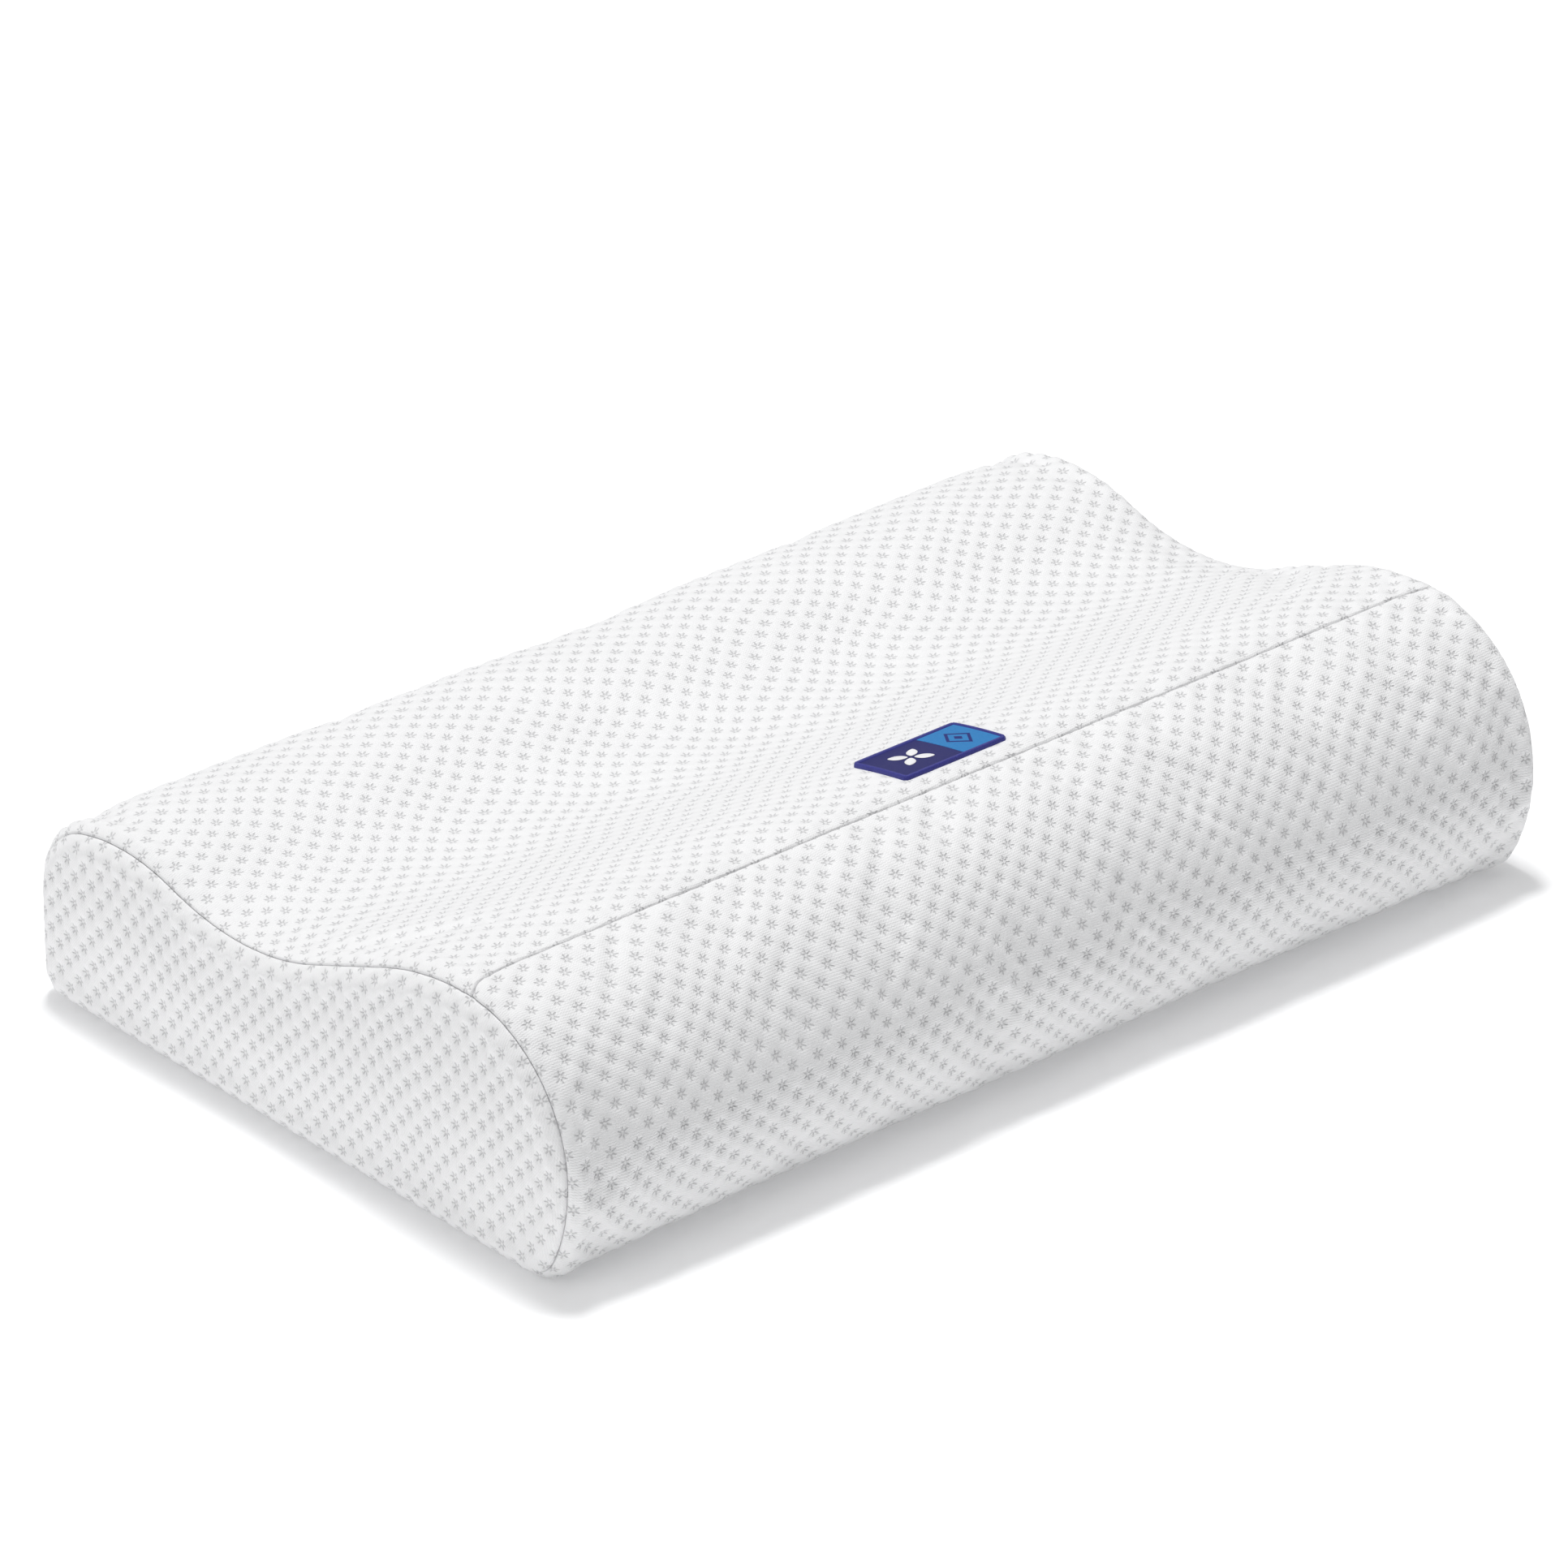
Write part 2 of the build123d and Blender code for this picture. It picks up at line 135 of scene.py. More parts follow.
# ---- woven label ----
RIM_WIDTH, RIM_HEIGHT, RIM_CORNER = 2.1 * MM, 1.8 * MM, 1.3 * MM
RIM_STITCH = 0.8 * MM
BASE_LIFT, FIELD_LIFT, PETAL_LIFT = 1.0 * MM, 1.2 * MM, 1.15 * MM
LABEL_BED = 0.7 * MM
LABEL_STIFFNESS = 2.4
SATIN_PITCH = 0.5 * MM
PETAL_LENGTH, PETAL_WIDTH, PETAL_GAP = 7.4 * MM, 4.2 * MM, 1.2 * MM


# ======== meshes ========


def make_piece(name, points, faces, material):
    """A smooth-shaded mesh object that rides on the pillow's body."""
    mesh = bpy.data.meshes.new(name)
    mesh.from_pydata(np.asarray(points).reshape(-1, 3).tolist(), [], faces)
    mesh.update()
    mesh.polygons.foreach_set("use_smooth", [True] * len(mesh.polygons))
    mesh.materials.append(material)
    piece = bpy.data.objects.new(name, mesh)
    bpy.context.scene.collection.objects.link(piece)
    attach(piece, "pillow")
    return piece


def write_attribute(piece, name, values):
    """Stores one vector per vertex, for the piece's material to read."""
    attribute = piece.data.attributes.new(name, "FLOAT_VECTOR", "POINT")
    attribute.data.foreach_set("vector", np.asarray(values, np.float32).ravel())


def grid_faces(rows, columns, wrap_rows=False, wrap_columns=False):
    """Quads over a rows by columns grid of points, closed on itself where asked."""
    last_row = rows if wrap_rows else rows - 1
    last_column = columns if wrap_columns else columns - 1
    r, c = np.meshgrid(np.arange(last_row), np.arange(last_column), indexing="ij")
    up, right = (r + 1) % rows, (c + 1) % columns
    corners = (r * columns + c, r * columns + right, up * columns + right, up * columns + c)
    return np.stack(corners, -1).reshape(-1, 4).tolist()


def tube(path, normals, radius, sides=6, closed=False):
    """Points and faces of a round tube along a path. radius may vary along it."""
    path = np.asarray(path)
    if closed:
        ahead = np.roll(path, -1, axis=0) - np.roll(path, 1, axis=0)
    else:
        ahead = np.gradient(path, axis=0)
    ahead = ahead / np.linalg.norm(ahead, axis=1)[:, None]
    up = normals - (normals * ahead).sum(1)[:, None] * ahead
    up /= np.linalg.norm(up, axis=1)[:, None]
    turn = np.linspace(0, TAU, sides, endpoint=False)[None, :, None]
    ring = np.cos(turn) * up[:, None] + np.sin(turn) * np.cross(ahead, up)[:, None]
    points = path[:, None] + np.broadcast_to(radius, len(path))[:, None, None] * ring
    return points.reshape(-1, 3), grid_faces(len(path), sides, closed, True)


def distances_along(path):
    """Each point's distance along an open path from its first point."""
    return np.concatenate(([0], np.cumsum(np.linalg.norm(np.diff(path, axis=0), axis=1))))


def resampled(values, along, places):
    """The two columns of values, known at distances along, read at other places."""
    return np.stack([np.interp(places, along, values[:, k]) for k in (0, 1)], -1)


def joined(parts):
    """Several (points, faces) as one."""
    points, faces, first = [], [], 0
    for part_points, part_faces in parts:
        points.append(part_points)
        faces += [[corner + first for corner in face] for face in part_faces]
        first += len(part_points)
    return np.vstack(points), faces


def spaced(length, step):
    """Distances from 0 to length: close together next to both ends, then even."""
    edge = np.cumsum(EDGE_STEPS)
    count = max(2, round((length - 2 * edge[-1]) / step) + 1)
    middle = np.linspace(edge[-1], length - edge[-1], count)
    return np.concatenate((edge[:-1], middle, (length - edge[:-1])[::-1]))


# ======== the cross-section ========


def tree_of(node):
    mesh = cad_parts[node].data
    points = [v.co.copy() for v in mesh.vertices]
    return BVHTree.FromPolygons(points, [tuple(p.vertices) for p in mesh.polygons])


def scan_section(x, step=1.0 * MM):
    """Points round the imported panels' outside at x, found by rays along Y and along Z."""
    trees = [tree_of("upper_panel"), tree_of("lower_panel")]
    low, high = CAD_BOX
    reach = 2 * (high[1] - low[1])

    def faces_met(starts, direction):
        met = []
        for start in starts:
            hits = [tree.ray_cast(start, direction, reach) for tree in trees]
            hits = [hit for hit in hits if hit[0] is not None]
            if hits:
                place, normal = min(hits, key=lambda hit: hit[3])[:2]
                if -normal.dot(direction) >= math.sqrt(0.5):
                    met.append((place.y, place.z))
        return met

    ys = np.arange(low[1] + step / 2, high[1], step)
    zs = np.arange(low[2] + step / 2, high[2], step)
    outside = reach / 2
    top = faces_met([Vector((x, y, outside)) for y in ys], Vector((0, 0, -1)))
    back = faces_met([Vector((x, outside, z)) for z in zs[::-1]], Vector((0, -1, 0)))
    bottom = faces_met([Vector((x, y, -outside)) for y in ys[::-1]], Vector((0, 0, 1)))
    front = faces_met([Vector((x, -outside, z)) for z in zs], Vector((0, 1, 0)))
    middle = (low[2] + high[2]) / 2
    top = [p for p in top if p[1] > middle]
    back = [p for p in back if p[0] > 0]
    bottom = [p for p in bottom if p[1] < middle / 2]
    front = [p for p in front if p[0] < 0]
    return np.array(top + back + bottom + front)


class Section:
    """The cover's closed outline, by distance from the crest seam back over the dip."""

    STEP = 0.5 * MM
    SOFTEN = 2.0 * MM

    def __init__(self, x):
        raw = scan_section(x)
        seam_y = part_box("crest_seam_thread")[1][1] - SEAM_GAP / 2
        ahead = np.argmax((raw[:, 1] > CAD_BOX[1][2] / 2) & (raw[:, 0] > seam_y))
        raw = np.roll(raw, -ahead, axis=0)
        loop = np.vstack((raw, raw[:1]))
        along = distances_along(loop)
        count = round(along[-1] / self.STEP)
        places = np.linspace(0, along[-1], count, endpoint=False)
        points = self.softened(resampled(loop, along, places))
        steps = np.diff(points, axis=0, append=points[:1])
        self.length = float(np.linalg.norm(steps, axis=1).sum())
        tangent = np.roll(points, -1, axis=0) - np.roll(points, 1, axis=0)
        tangent /= np.linalg.norm(tangent, axis=1)[:, None]
        self.points = points
        self.normals = np.stack((-tangent[:, 1], tangent[:, 0]), -1)

    def softened(self, points):
        reach = int(4 * self.SOFTEN / self.STEP)
        weights = np.exp(-0.5 * (np.arange(-reach, reach + 1) * self.STEP / self.SOFTEN) ** 2)
        weights /= weights.sum()
        padded = np.vstack((points[-reach:], points, points[:reach]))
        return np.stack([np.convolve(padded[:, k], weights, "valid") for k in (0, 1)], -1)

    def at(self, s):
        """Places and outward normals at distances s, as two (..., 2) arrays of y and z."""
        places = np.linspace(0, self.length, len(self.points), endpoint=False)
        s = np.asarray(s)
        out = []
        for table in (self.points, self.normals):
            values = [np.interp(s, places, table[:, k], period=self.length) for k in (0, 1)]
            out.append(np.stack(values, -1))
        out[1] /= np.linalg.norm(out[1], axis=-1)[..., None]
        return out

    def distance_to(self, y, z):
        """The distance along the outline of its point nearest to y, z."""
        nearest = np.argmin(((self.points - (y, z)) ** 2).sum(1))
        return nearest * self.length / len(self.points)


SECTION = Section(x=120 * MM)
HALF_LENGTH = CAD_BOX[1][0]
FLAT_HALF = HALF_LENGTH - END_RADIUS
END_SEAM_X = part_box("right_end_seam_thread")[0][0]
SEAM_ANGLE = math.asin((END_SEAM_X - FLAT_HALF) / END_RADIUS)
ACROSS = FLAT_HALF + END_RADIUS * SEAM_ANGLE
SEAM_INSET = END_RADIUS * (1 - math.cos(SEAM_ANGLE))
ZIP_Z = (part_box("zip_coil_upper")[0][2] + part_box("zip_coil_lower")[1][2]) / 2
BACK_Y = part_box("upper_panel")[1][1]
BACK_SEAM_S = SECTION.distance_to(BACK_Y, ZIP_Z)


def on_cover(w, s, height=0.0):
    """Points on the long panels: w across from the middle, s along the section.

    Past the flat part, w follows the rounded end. height stands out along the surface's normal.
    """
    w, s = np.broadcast_arrays(w, s)
    turn = np.clip(np.abs(w) - FLAT_HALF, 0, None) / END_RADIUS
    side = np.sign(w)
    flat, normal = SECTION.at(s)
    x = side * (np.minimum(np.abs(w), FLAT_HALF) + END_RADIUS * np.sin(turn))
    inset = END_RADIUS * (1 - np.cos(turn))
    yz = flat - inset[..., None] * normal
    out = np.concatenate(((side * np.sin(turn))[..., None], np.cos(turn)[..., None] * normal), -1)
    place = np.concatenate((x[..., None], yz), -1)
    return place + np.asarray(height)[..., None] * out


# ======== the quilted knit's relief ========


class Wander:
    """A slow, smooth drift of the knit's rows, as sums of seeded waves."""

    WAVES = 7

    def __init__(self, seed):
        rng = np.random.default_rng(seed)
        self.lengths = rng.uniform(55, 170, (self.WAVES, 2)) * MM
        self.signs = rng.choice((-1, 1), (self.WAVES, 2))
        self.phases = rng.uniform(0, TAU, self.WAVES)

    def __call__(self, a, b):
        total = np.zeros(np.broadcast(a, b).shape)
        for length, sign, phase in zip(self.lengths, self.signs, self.phases):
            total += np.sin(TAU * (sign[0] * a / length[0] + sign[1] * b / length[1]) + phase)
        return total / math.sqrt(self.WAVES)


def lattice(a, b, pitch, seed):
    """The knit's own coordinates: whole and half numbers where its motifs are."""
    drift_a, drift_b = Wander(seed), Wander(seed + 1)
    return (a + WANDER * drift_a(a, b)) / pitch[0], (b + WANDER * drift_b(a, b)) / pitch[1]


def dimples(u, v):
    """0 on the puffed fields between the motifs, 1 at each motif."""
    wave = np.cos(TAU * u) * np.cos(TAU * v)
    return ((wave + 1) / 2) ** DIMPLE_SHARPNESS


def seam_shape(distance):
    """How far the cloth stands out near a seam: a soft swell, then a tight roll into it."""
    swell = SEAM_SWELL * np.exp(-(((distance - SEAM_SWELL_AT) / SEAM_SWELL_WIDTH) ** 2))
    inside = np.clip(SEAM_ROLL - distance, 0, SEAM_ROLL)
    roll = SEAM_ROLL - np.sqrt(SEAM_ROLL**2 - inside**2)
    return swell - roll - np.clip(-distance, 0, None)


def pucker(distance, along):
    """Small gathers that run out from a seam, uneven along it."""
    uneven = along / PUCKER_PITCH + 0.8 * np.sin(along / PUCKER_DRIFTS[0])
    uneven = uneven + 0.5 * np.sin(along / PUCKER_DRIFTS[1])
    return PUCKER * np.sin(TAU * uneven) * np.exp(-((distance / PUCKER_REACH) ** 2))


def smoothstep(low, high, value):
    t = np.clip((value - low) / (high - low), 0, 1)
    return t * t * (3 - 2 * t)


def with_skirt(distances):
    """The distances with one more at each end, which drops inwards to close the seam."""
    return np.concatenate(([distances[0]], distances, [distances[-1]]))


def skirt_drop(count):
    drop = np.zeros(count)
    drop[[0, -1]] = SKIRT
    return drop


def crest_seam_shift(x):
    """How far the crest seam has turned towards the front at x."""
    past = np.clip(np.abs(x) - CREST_SEAM_STRAIGHT_HALF, 0, None)
    return CREST_SEAM_END_RADIUS - np.sqrt(CREST_SEAM_END_RADIUS**2 - past**2)


def zip_half_opening(x):
    """Half the gap between the panels at the back: the zip's slot, closing past its ends."""
    ramp = smoothstep(ZIP_SLOT_HALF_LENGTH + ZIP_SLOT_RAMP, ZIP_SLOT_HALF_LENGTH, np.abs(x))
    return SEAM_GAP / 2 + (ZIP_SLOT - SEAM_GAP) / 2 * ramp


def zip_distance(w, s):
    """How far outside the zip's slot a point is. Past the slot's ends it is far."""
    beyond = 1 * (np.abs(w) > ZIP_SLOT_HALF_LENGTH)
    return np.abs(s - BACK_SEAM_S) - ZIP_SLOT / 2 + beyond


def label_bed(s):
    """How far the label's underside stands out: it is stiff, so it bends less than the cover."""
    back = np.clip(s - LABEL_S, -LABEL_HALF[1], LABEL_HALF[1])
    return LABEL_BED + LABEL_STIFFNESS * back**2


def under_label(w, s):
    """1 where the label presses the cover flat, 0 elsewhere."""
    past = np.maximum(np.abs(w - LABEL_X) - LABEL_HALF[0], np.abs(s - LABEL_S) - LABEL_HALF[1])
    return smoothstep(2.4 * MM, 0.2 * MM, past)


class Stretch:
    """How far the stuffed cover's cloth stands out, from a coarse cloth simulation.

    The long panels are simulated as one sleeve, held along their seams and underneath, and
    pressed from inside.
    """

    def __init__(self):
        self.columns = round(2 * ACROSS / SIM_STEP) + 1
        self.rows = round(SECTION.length / SIM_STEP)
        self.field = np.zeros((self.rows, self.columns))
        self.simulate()

    def simulate(self):
        w = np.linspace(-ACROSS, ACROSS, self.columns)
        s = np.linspace(0, SECTION.length, self.rows, endpoint=False)[:, None]
        rest = on_cover(w, s)
        out = on_cover(w, s, np.full(rest.shape[:2], MM)) - rest
        out /= np.linalg.norm(out, axis=-1)[..., None]
        mesh = bpy.data.meshes.new("stretch")
        faces = grid_faces(self.rows, self.columns, wrap_rows=True)
        mesh.from_pydata(rest.reshape(-1, 3).tolist(), [], faces)
        cloth_object = bpy.data.objects.new("stretch", mesh)
        bpy.context.scene.collection.objects.link(cloth_object)

        to_seams = np.minimum(np.abs(s), np.abs(s - SECTION.length))
        to_seams = np.minimum(to_seams, np.abs(s - BACK_SEAM_S)) + 0 * w
        held = (np.abs(w) > ACROSS - SIM_STEP / 2) | (to_seams < SIM_STEP * 0.75)
        held |= rest[..., 2] < 1 * MM
        group = cloth_object.vertex_groups.new(name="held")
        group.add(np.flatnonzero(held).tolist(), 1.0, "REPLACE")

        cloth = cloth_object.modifiers.new("cloth", "CLOTH").settings
        cloth.quality = 6
        cloth.mass = 0.35
        cloth.tension_stiffness = cloth.compression_stiffness = 18
        cloth.shear_stiffness = 6
        cloth.bending_stiffness = 0.4
        cloth.shrink_min = -0.012
        cloth.vertex_group_mass = "held"
        cloth.use_pressure = True
        cloth.uniform_pressure_force = SIM_PRESSURE
        cloth.effector_weights.gravity = 0
        for frame_number in range(1, SIM_FRAMES + 1):
            bpy.context.scene.frame_set(frame_number)
        settled = cloth_object.evaluated_get(bpy.context.evaluated_depsgraph_get()).data
        moved = np.empty(rest.size, np.float32)
        settled.vertices.foreach_get("co", moved)
        rise = ((moved.reshape(rest.shape) - rest) * out).sum(-1)
        self.field = SIM_LIMIT * np.tanh(rise / SIM_LIMIT)
        bpy.data.objects.remove(cloth_object)
        bpy.context.scene.frame_set(1)

    def at(self, w, s):
        """The rise at w across and s along the section, between the grid's points."""
        across = np.clip((w + ACROSS) / (2 * ACROSS) * (self.columns - 1), 0, self.columns - 1.001)
        along = np.mod(s, SECTION.length) / SECTION.length * self.rows
        c, r = across.astype(int), along.astype(int) % self.rows
        across, along = across - c, along - along.astype(int)
        below = (r + 1) % self.rows
        near = self.field[r, c] * (1 - across) + self.field[r, c + 1] * across
        far = self.field[below, c] * (1 - across) + self.field[below, c + 1] * across
        return near * (1 - along) + far * along


def flat_at_zip(height, s):
    """The height, held down beside the back seam so that the slider runs clear of the cloth."""
    beside_zip = smoothstep(ZIP_FLAT_FADE_TO, ZIP_FLAT_TO, np.abs(s - BACK_SEAM_S))
    return height - beside_zip * np.clip(height - ZIP_PROUD, 0, None)


def cover_rise(w, s):
    """How far the long panels stand out from the section, without their dimples and gathers."""
    to_seam = np.minimum(np.abs(s), np.abs(s - SECTION.length))
    rise = STRETCH.at(w, s) + seam_shape(to_seam) + seam_shape(zip_distance(w, s))
    rise = flat_at_zip(rise, s)
    covered = under_label(w, s)
    return rise * (1 - covered) + label_bed(s) * covered


LABEL_LOW, LABEL_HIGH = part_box("label_rim")
LABEL_X = (LABEL_LOW[0] + LABEL_HIGH[0]) / 2
LABEL_S = SECTION.distance_to((LABEL_LOW[1] + LABEL_HIGH[1]) / 2, LABEL_HIGH[2])
LABEL_HALF = (LABEL_HIGH[0] - LABEL_LOW[0]) / 2, (LABEL_HIGH[1] - LABEL_LOW[1]) / 2
STRETCH = Stretch()


def long_panel(name, start, end, steps, pitch, seed, material):
    """One of the two long panels, between the distances start(x) and end(x) on the section.

    steps are the rows' shares of that length, from 0 to 1.
    """
    w = with_skirt(spaced(2 * ACROSS, CLOTH_STEP) - ACROSS)
    shares = with_skirt(steps)
    low, high = start(w), end(w)
    s = low + (high - low) * shares[:, None]
    w_grid = np.broadcast_to(w, s.shape)
    to_sides = ACROSS - np.abs(w_grid)
    to_ends = np.minimum(s - low, high - s)
    nearest = np.minimum(to_sides, to_ends)
    u, v = lattice(w_grid, s, pitch, seed)
    height = seam_shape(to_sides) + seam_shape(to_ends) + STRETCH.at(w_grid, s)
    height += pucker(to_sides, s) + pucker(to_ends, w_grid)
    covered = under_label(w_grid, s)
    height += (label_bed(s) - height) * covered
    height = flat_at_zip(height, s)
    from_stitches = (zip_distance(w_grid, s) - ZIP_TOPSTITCH) / TOPSTITCH_DENT_WIDTH
    height -= TOPSTITCH_DENT * np.exp(-(from_stitches**2))
    bare = smoothstep(0, DIMPLE_FADE, nearest) * (1 - covered)
    height -= DIMPLE_DEPTH * dimples(u, v) * bare
    height -= np.maximum(skirt_drop(len(shares))[:, None], skirt_drop(len(w)))
    points = on_cover(w_grid, s, height)
    points[..., 2] = np.maximum(points[..., 2], FLOOR_CLEARANCE)
    piece = make_piece(name, points, grid_faces(*s.shape), material)
    write_attribute(piece, "knit", np.stack((u, v, nearest / MM), -1))
    return piece


def end_outline(inset):
    """The end panel's edge, moved in by inset from the section, as (n, 2) of y and z."""
    count = round(SECTION.length / CLOTH_STEP)
    place, normal = SECTION.at(np.linspace(0, SECTION.length, count, endpoint=False))
    return place - inset * normal


def inside_outline(points, outline):
    """Which points lie inside a closed outline, by counting its crossings to the right."""
    inside = np.zeros(len(points), bool)
    for (y0, z0), (y1, z1) in zip(outline, np.roll(outline, -1, axis=0)):
        crosses = (z0 > points[:, 1]) != (z1 > points[:, 1])
        at = y0 + (points[:, 1] - z0) * (y1 - y0) / (z1 - z0 if z1 != z0 else 1)
        inside ^= crosses & (points[:, 0] < at)
    return inside


def distance_to_outline(points, outline):
    """Each point's distance to a closed outline."""
    best = np.full(len(points), np.inf)
    for a, d in zip(outline, np.roll(outline, -1, axis=0) - outline):
        share = np.clip(((points - a) @ d) / (d @ d), 0, 1)
        best = np.minimum(best, np.linalg.norm(points - a - share[:, None] * d, axis=1))
    return best


def end_panel(name, side, seed, material):
    """An end panel: flat with a slight crown, rounded to its seam. side is -1 or 1."""
    rim = end_outline(SEAM_INSET)
    rings = [end_outline(SEAM_INSET + d) for d in np.cumsum(EDGE_STEPS)]
    reach = np.cumsum(EDGE_STEPS)[-1] + CLOTH_STEP / 2
    low, high = rim.min(0), rim.max(0)
    rows = np.arange(low[1], high[1], CLOTH_STEP * math.sqrt(3) / 2)
    fill = np.array([
        (y + (CLOTH_STEP / 2 if k % 2 else 0), z)
        for k, z in enumerate(rows)
        for y in np.arange(low[0], high[0], CLOTH_STEP)
    ])
    fill = fill[inside_outline(fill, rim)]
    fill = fill[distance_to_outline(fill, rim) > reach]
    flat = np.vstack(rings + [fill])
    ring_size = len(rim)
    loop = [(i, (i + 1) % ring_size) for i in range(ring_size)]
    made = delaunay_2d_cdt([Vector(p) for p in flat], loop, [list(range(ring_size))], 1, 1e-9)
    flat = np.array([tuple(p) for p in made[0]])
    triangles = [list(face)[::side] for face in made[2]]

    edge_distance = distance_to_outline(flat, rim)
    edge_distance[:ring_size] = 0
    inset = np.minimum(SEAM_INSET + edge_distance, END_RADIUS)
    rise = np.sqrt(END_RADIUS**2 - (END_RADIUS - inset) ** 2)
    turn = np.arccos(np.clip((END_RADIUS - inset) / END_RADIUS, -1, 1))
    lean = outline_normals(flat)
    u, v = lattice(flat[:, 1], flat[:, 0], END_PITCH, seed)
    height = seam_shape(edge_distance) + END_CROWN * smoothstep(0, END_CROWN_REACH, edge_distance)
    height += pucker(edge_distance, flat[:, 0] + flat[:, 1])
    height -= DIMPLE_DEPTH * dimples(u, v) * smoothstep(0, DIMPLE_FADE, edge_distance)
    x = FLAT_HALF + rise
    out = np.column_stack((np.sin(turn), np.cos(turn)[:, None] * lean))
    points = np.column_stack((x, flat)) + height[:, None] * out
    skirt = points[:ring_size] - SKIRT * out[:ring_size]
    first = len(points)
    points = np.vstack((points, skirt))
    points[:, 0] *= side
    points[:, 2] = np.maximum(points[:, 2], FLOOR_CLEARANCE)
    quads = [[i, j, first + j, first + i][::-side] for i, j in loop]
    piece = make_piece(name, points, triangles + quads, material)
    knit = np.column_stack((u, v, edge_distance / MM))
    write_attribute(piece, "knit", np.vstack((knit, knit[:ring_size])))
    return piece


def outline_normals(flat):
    """For points in the end's plane, the outward normal of the section's nearest point."""
    lean = np.empty_like(flat)
    for k in range(0, len(flat), 2000):
        block = flat[k : k + 2000]
        gaps = ((block[:, None] - SECTION.points[None]) ** 2).sum(2)
        lean[k : k + 2000] = SECTION.normals[gaps.argmin(1)]
    return lean


def build_cover(fabric):
    """The four panels of the cover."""
    upper = long_panel(
        "cover_upper",
        lambda w: SEAM_GAP / 4 - crest_seam_shift(w),
        lambda w: BACK_SEAM_S - zip_half_opening(w),
        spaced(BACK_SEAM_S, CLOTH_STEP) / BACK_SEAM_S, TOP_PITCH, 11, fabric,
    )
    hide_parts("upper_panel")

    straight = SECTION.length - BACK_SEAM_S
    foot = SECTION.distance_to(SECTION.points[:, 0].max(), 0) - BACK_SEAM_S
    nose_foot = SECTION.distance_to(SECTION.points[:, 0].min(), 0) - BACK_SEAM_S
    rows = spaced(straight, CLOTH_STEP)
    rows = np.concatenate((rows[rows <= foot], np.arange(foot, nose_foot, BASE_STEP)[1:],
                           rows[rows >= nose_foot]))
    lower = long_panel(
        "cover_lower",
        lambda w: BACK_SEAM_S + zip_half_opening(w),
        lambda w: SECTION.length - crest_seam_shift(w) - SEAM_GAP / 4,
        rows / straight, FRONT_PITCH, 23, fabric,
    )
    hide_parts("lower_panel")

    left = end_panel("cover_left_end", -1, 37, fabric)
    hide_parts("left_end_panel")
    right = end_panel("cover_right_end", 1, 41, fabric)
    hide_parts("right_end_panel")
    across = 2 * ACROSS


# ======== threads ========


def seam_thread(w, s, closed=False):
    """A sewing thread lying in a seam's groove, along the points w, s of the cover."""
    path = on_cover(w, s, np.full(len(w), -SEAM_THREAD_SUNK))
    normals = on_cover(w, s) - path
    along = distances_along(path)
    nipped = 0.85 + 0.15 * np.abs(np.sin(math.pi * along / SEAM_STITCH))
    return tube(path, normals, SEAM_THREAD_RADIUS * nipped, closed=closed)


def build_seam_threads(material):
    """The threads of the crest seam, the two end seams and the back seam past the zip."""
    w = np.arange(-ACROSS, ACROSS, 0.5 * MM)
    crest = make_piece("crest_thread", *seam_thread(w, -crest_seam_shift(w)), material)
    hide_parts("crest_seam_thread")

    s = np.linspace(0, SECTION.length, round(SECTION.length / (0.6 * MM)), endpoint=False)
    for side, word in ((-1, "left"), (1, "right")):
        rim = np.full(len(s), side * (ACROSS + SEAM_GAP / 2))
        ring = make_piece(f"{word}_end_thread", *seam_thread(rim, s, closed=True), material)
        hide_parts(f"{word}_end_seam_thread")

    short = np.arange(ZIP_SLOT_HALF_LENGTH, ACROSS, 0.5 * MM)
    halves = [seam_thread(side * short, np.full(len(short), BACK_SEAM_S)) for side in (-1, 1)]
    back = make_piece("back_thread", *joined(halves), material)
    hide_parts("back_seam_thread")


def topstitching(name, node, offset, material):
    """A row of single stitches beside the zip, each a short thread that dips at both ends."""
    half = (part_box(node)[1][0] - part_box(node)[0][0]) / 2
    share = np.linspace(0, 1, 7)
    stitches = []
    for start in np.arange(-half, half - TOPSTITCH_LENGTH, TOPSTITCH_LENGTH + TOPSTITCH_GAP):
        w = start + TOPSTITCH_LENGTH * share
        s = np.full(len(w), BACK_SEAM_S + offset)
        arch = 0.5 * MM * np.sin(math.pi * share) ** 0.5 - 0.55 * MM + cover_rise(w, s)
        path = on_cover(w, s, arch)
        radius = TOPSTITCH_RADIUS * (0.6 + 0.4 * np.sin(math.pi * share))
        stitches.append(tube(path, on_cover(w, s, arch + MM) - path, radius, sides=5))
    piece = make_piece(name, *joined(stitches), material)
    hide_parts(node)


# ======== the zip ========


def zip_coil(name, node, material):
    """A nylon coil: one wire wound along the box of its CAD bar."""
    low, high = (np.array(corner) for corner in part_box(node))
    middle, half = (low + high) / 2, (high - low) / 2
    turns = round(2 * half[0] / COIL_PITCH)
    turn = np.linspace(0, TAU * turns, 12 * turns + 1)
    radial = np.column_stack((0 * turn, np.cos(turn), np.sin(turn)))
    path = middle + radial * (half - COIL_WIRE_RADIUS)
    path[:, 0] = np.linspace(low[0] + COIL_WIRE_RADIUS, high[0] - COIL_WIRE_RADIUS, len(turn))
    piece = make_piece(name, *tube(path, radial, COIL_WIRE_RADIUS, sides=6), material)
    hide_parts(node)


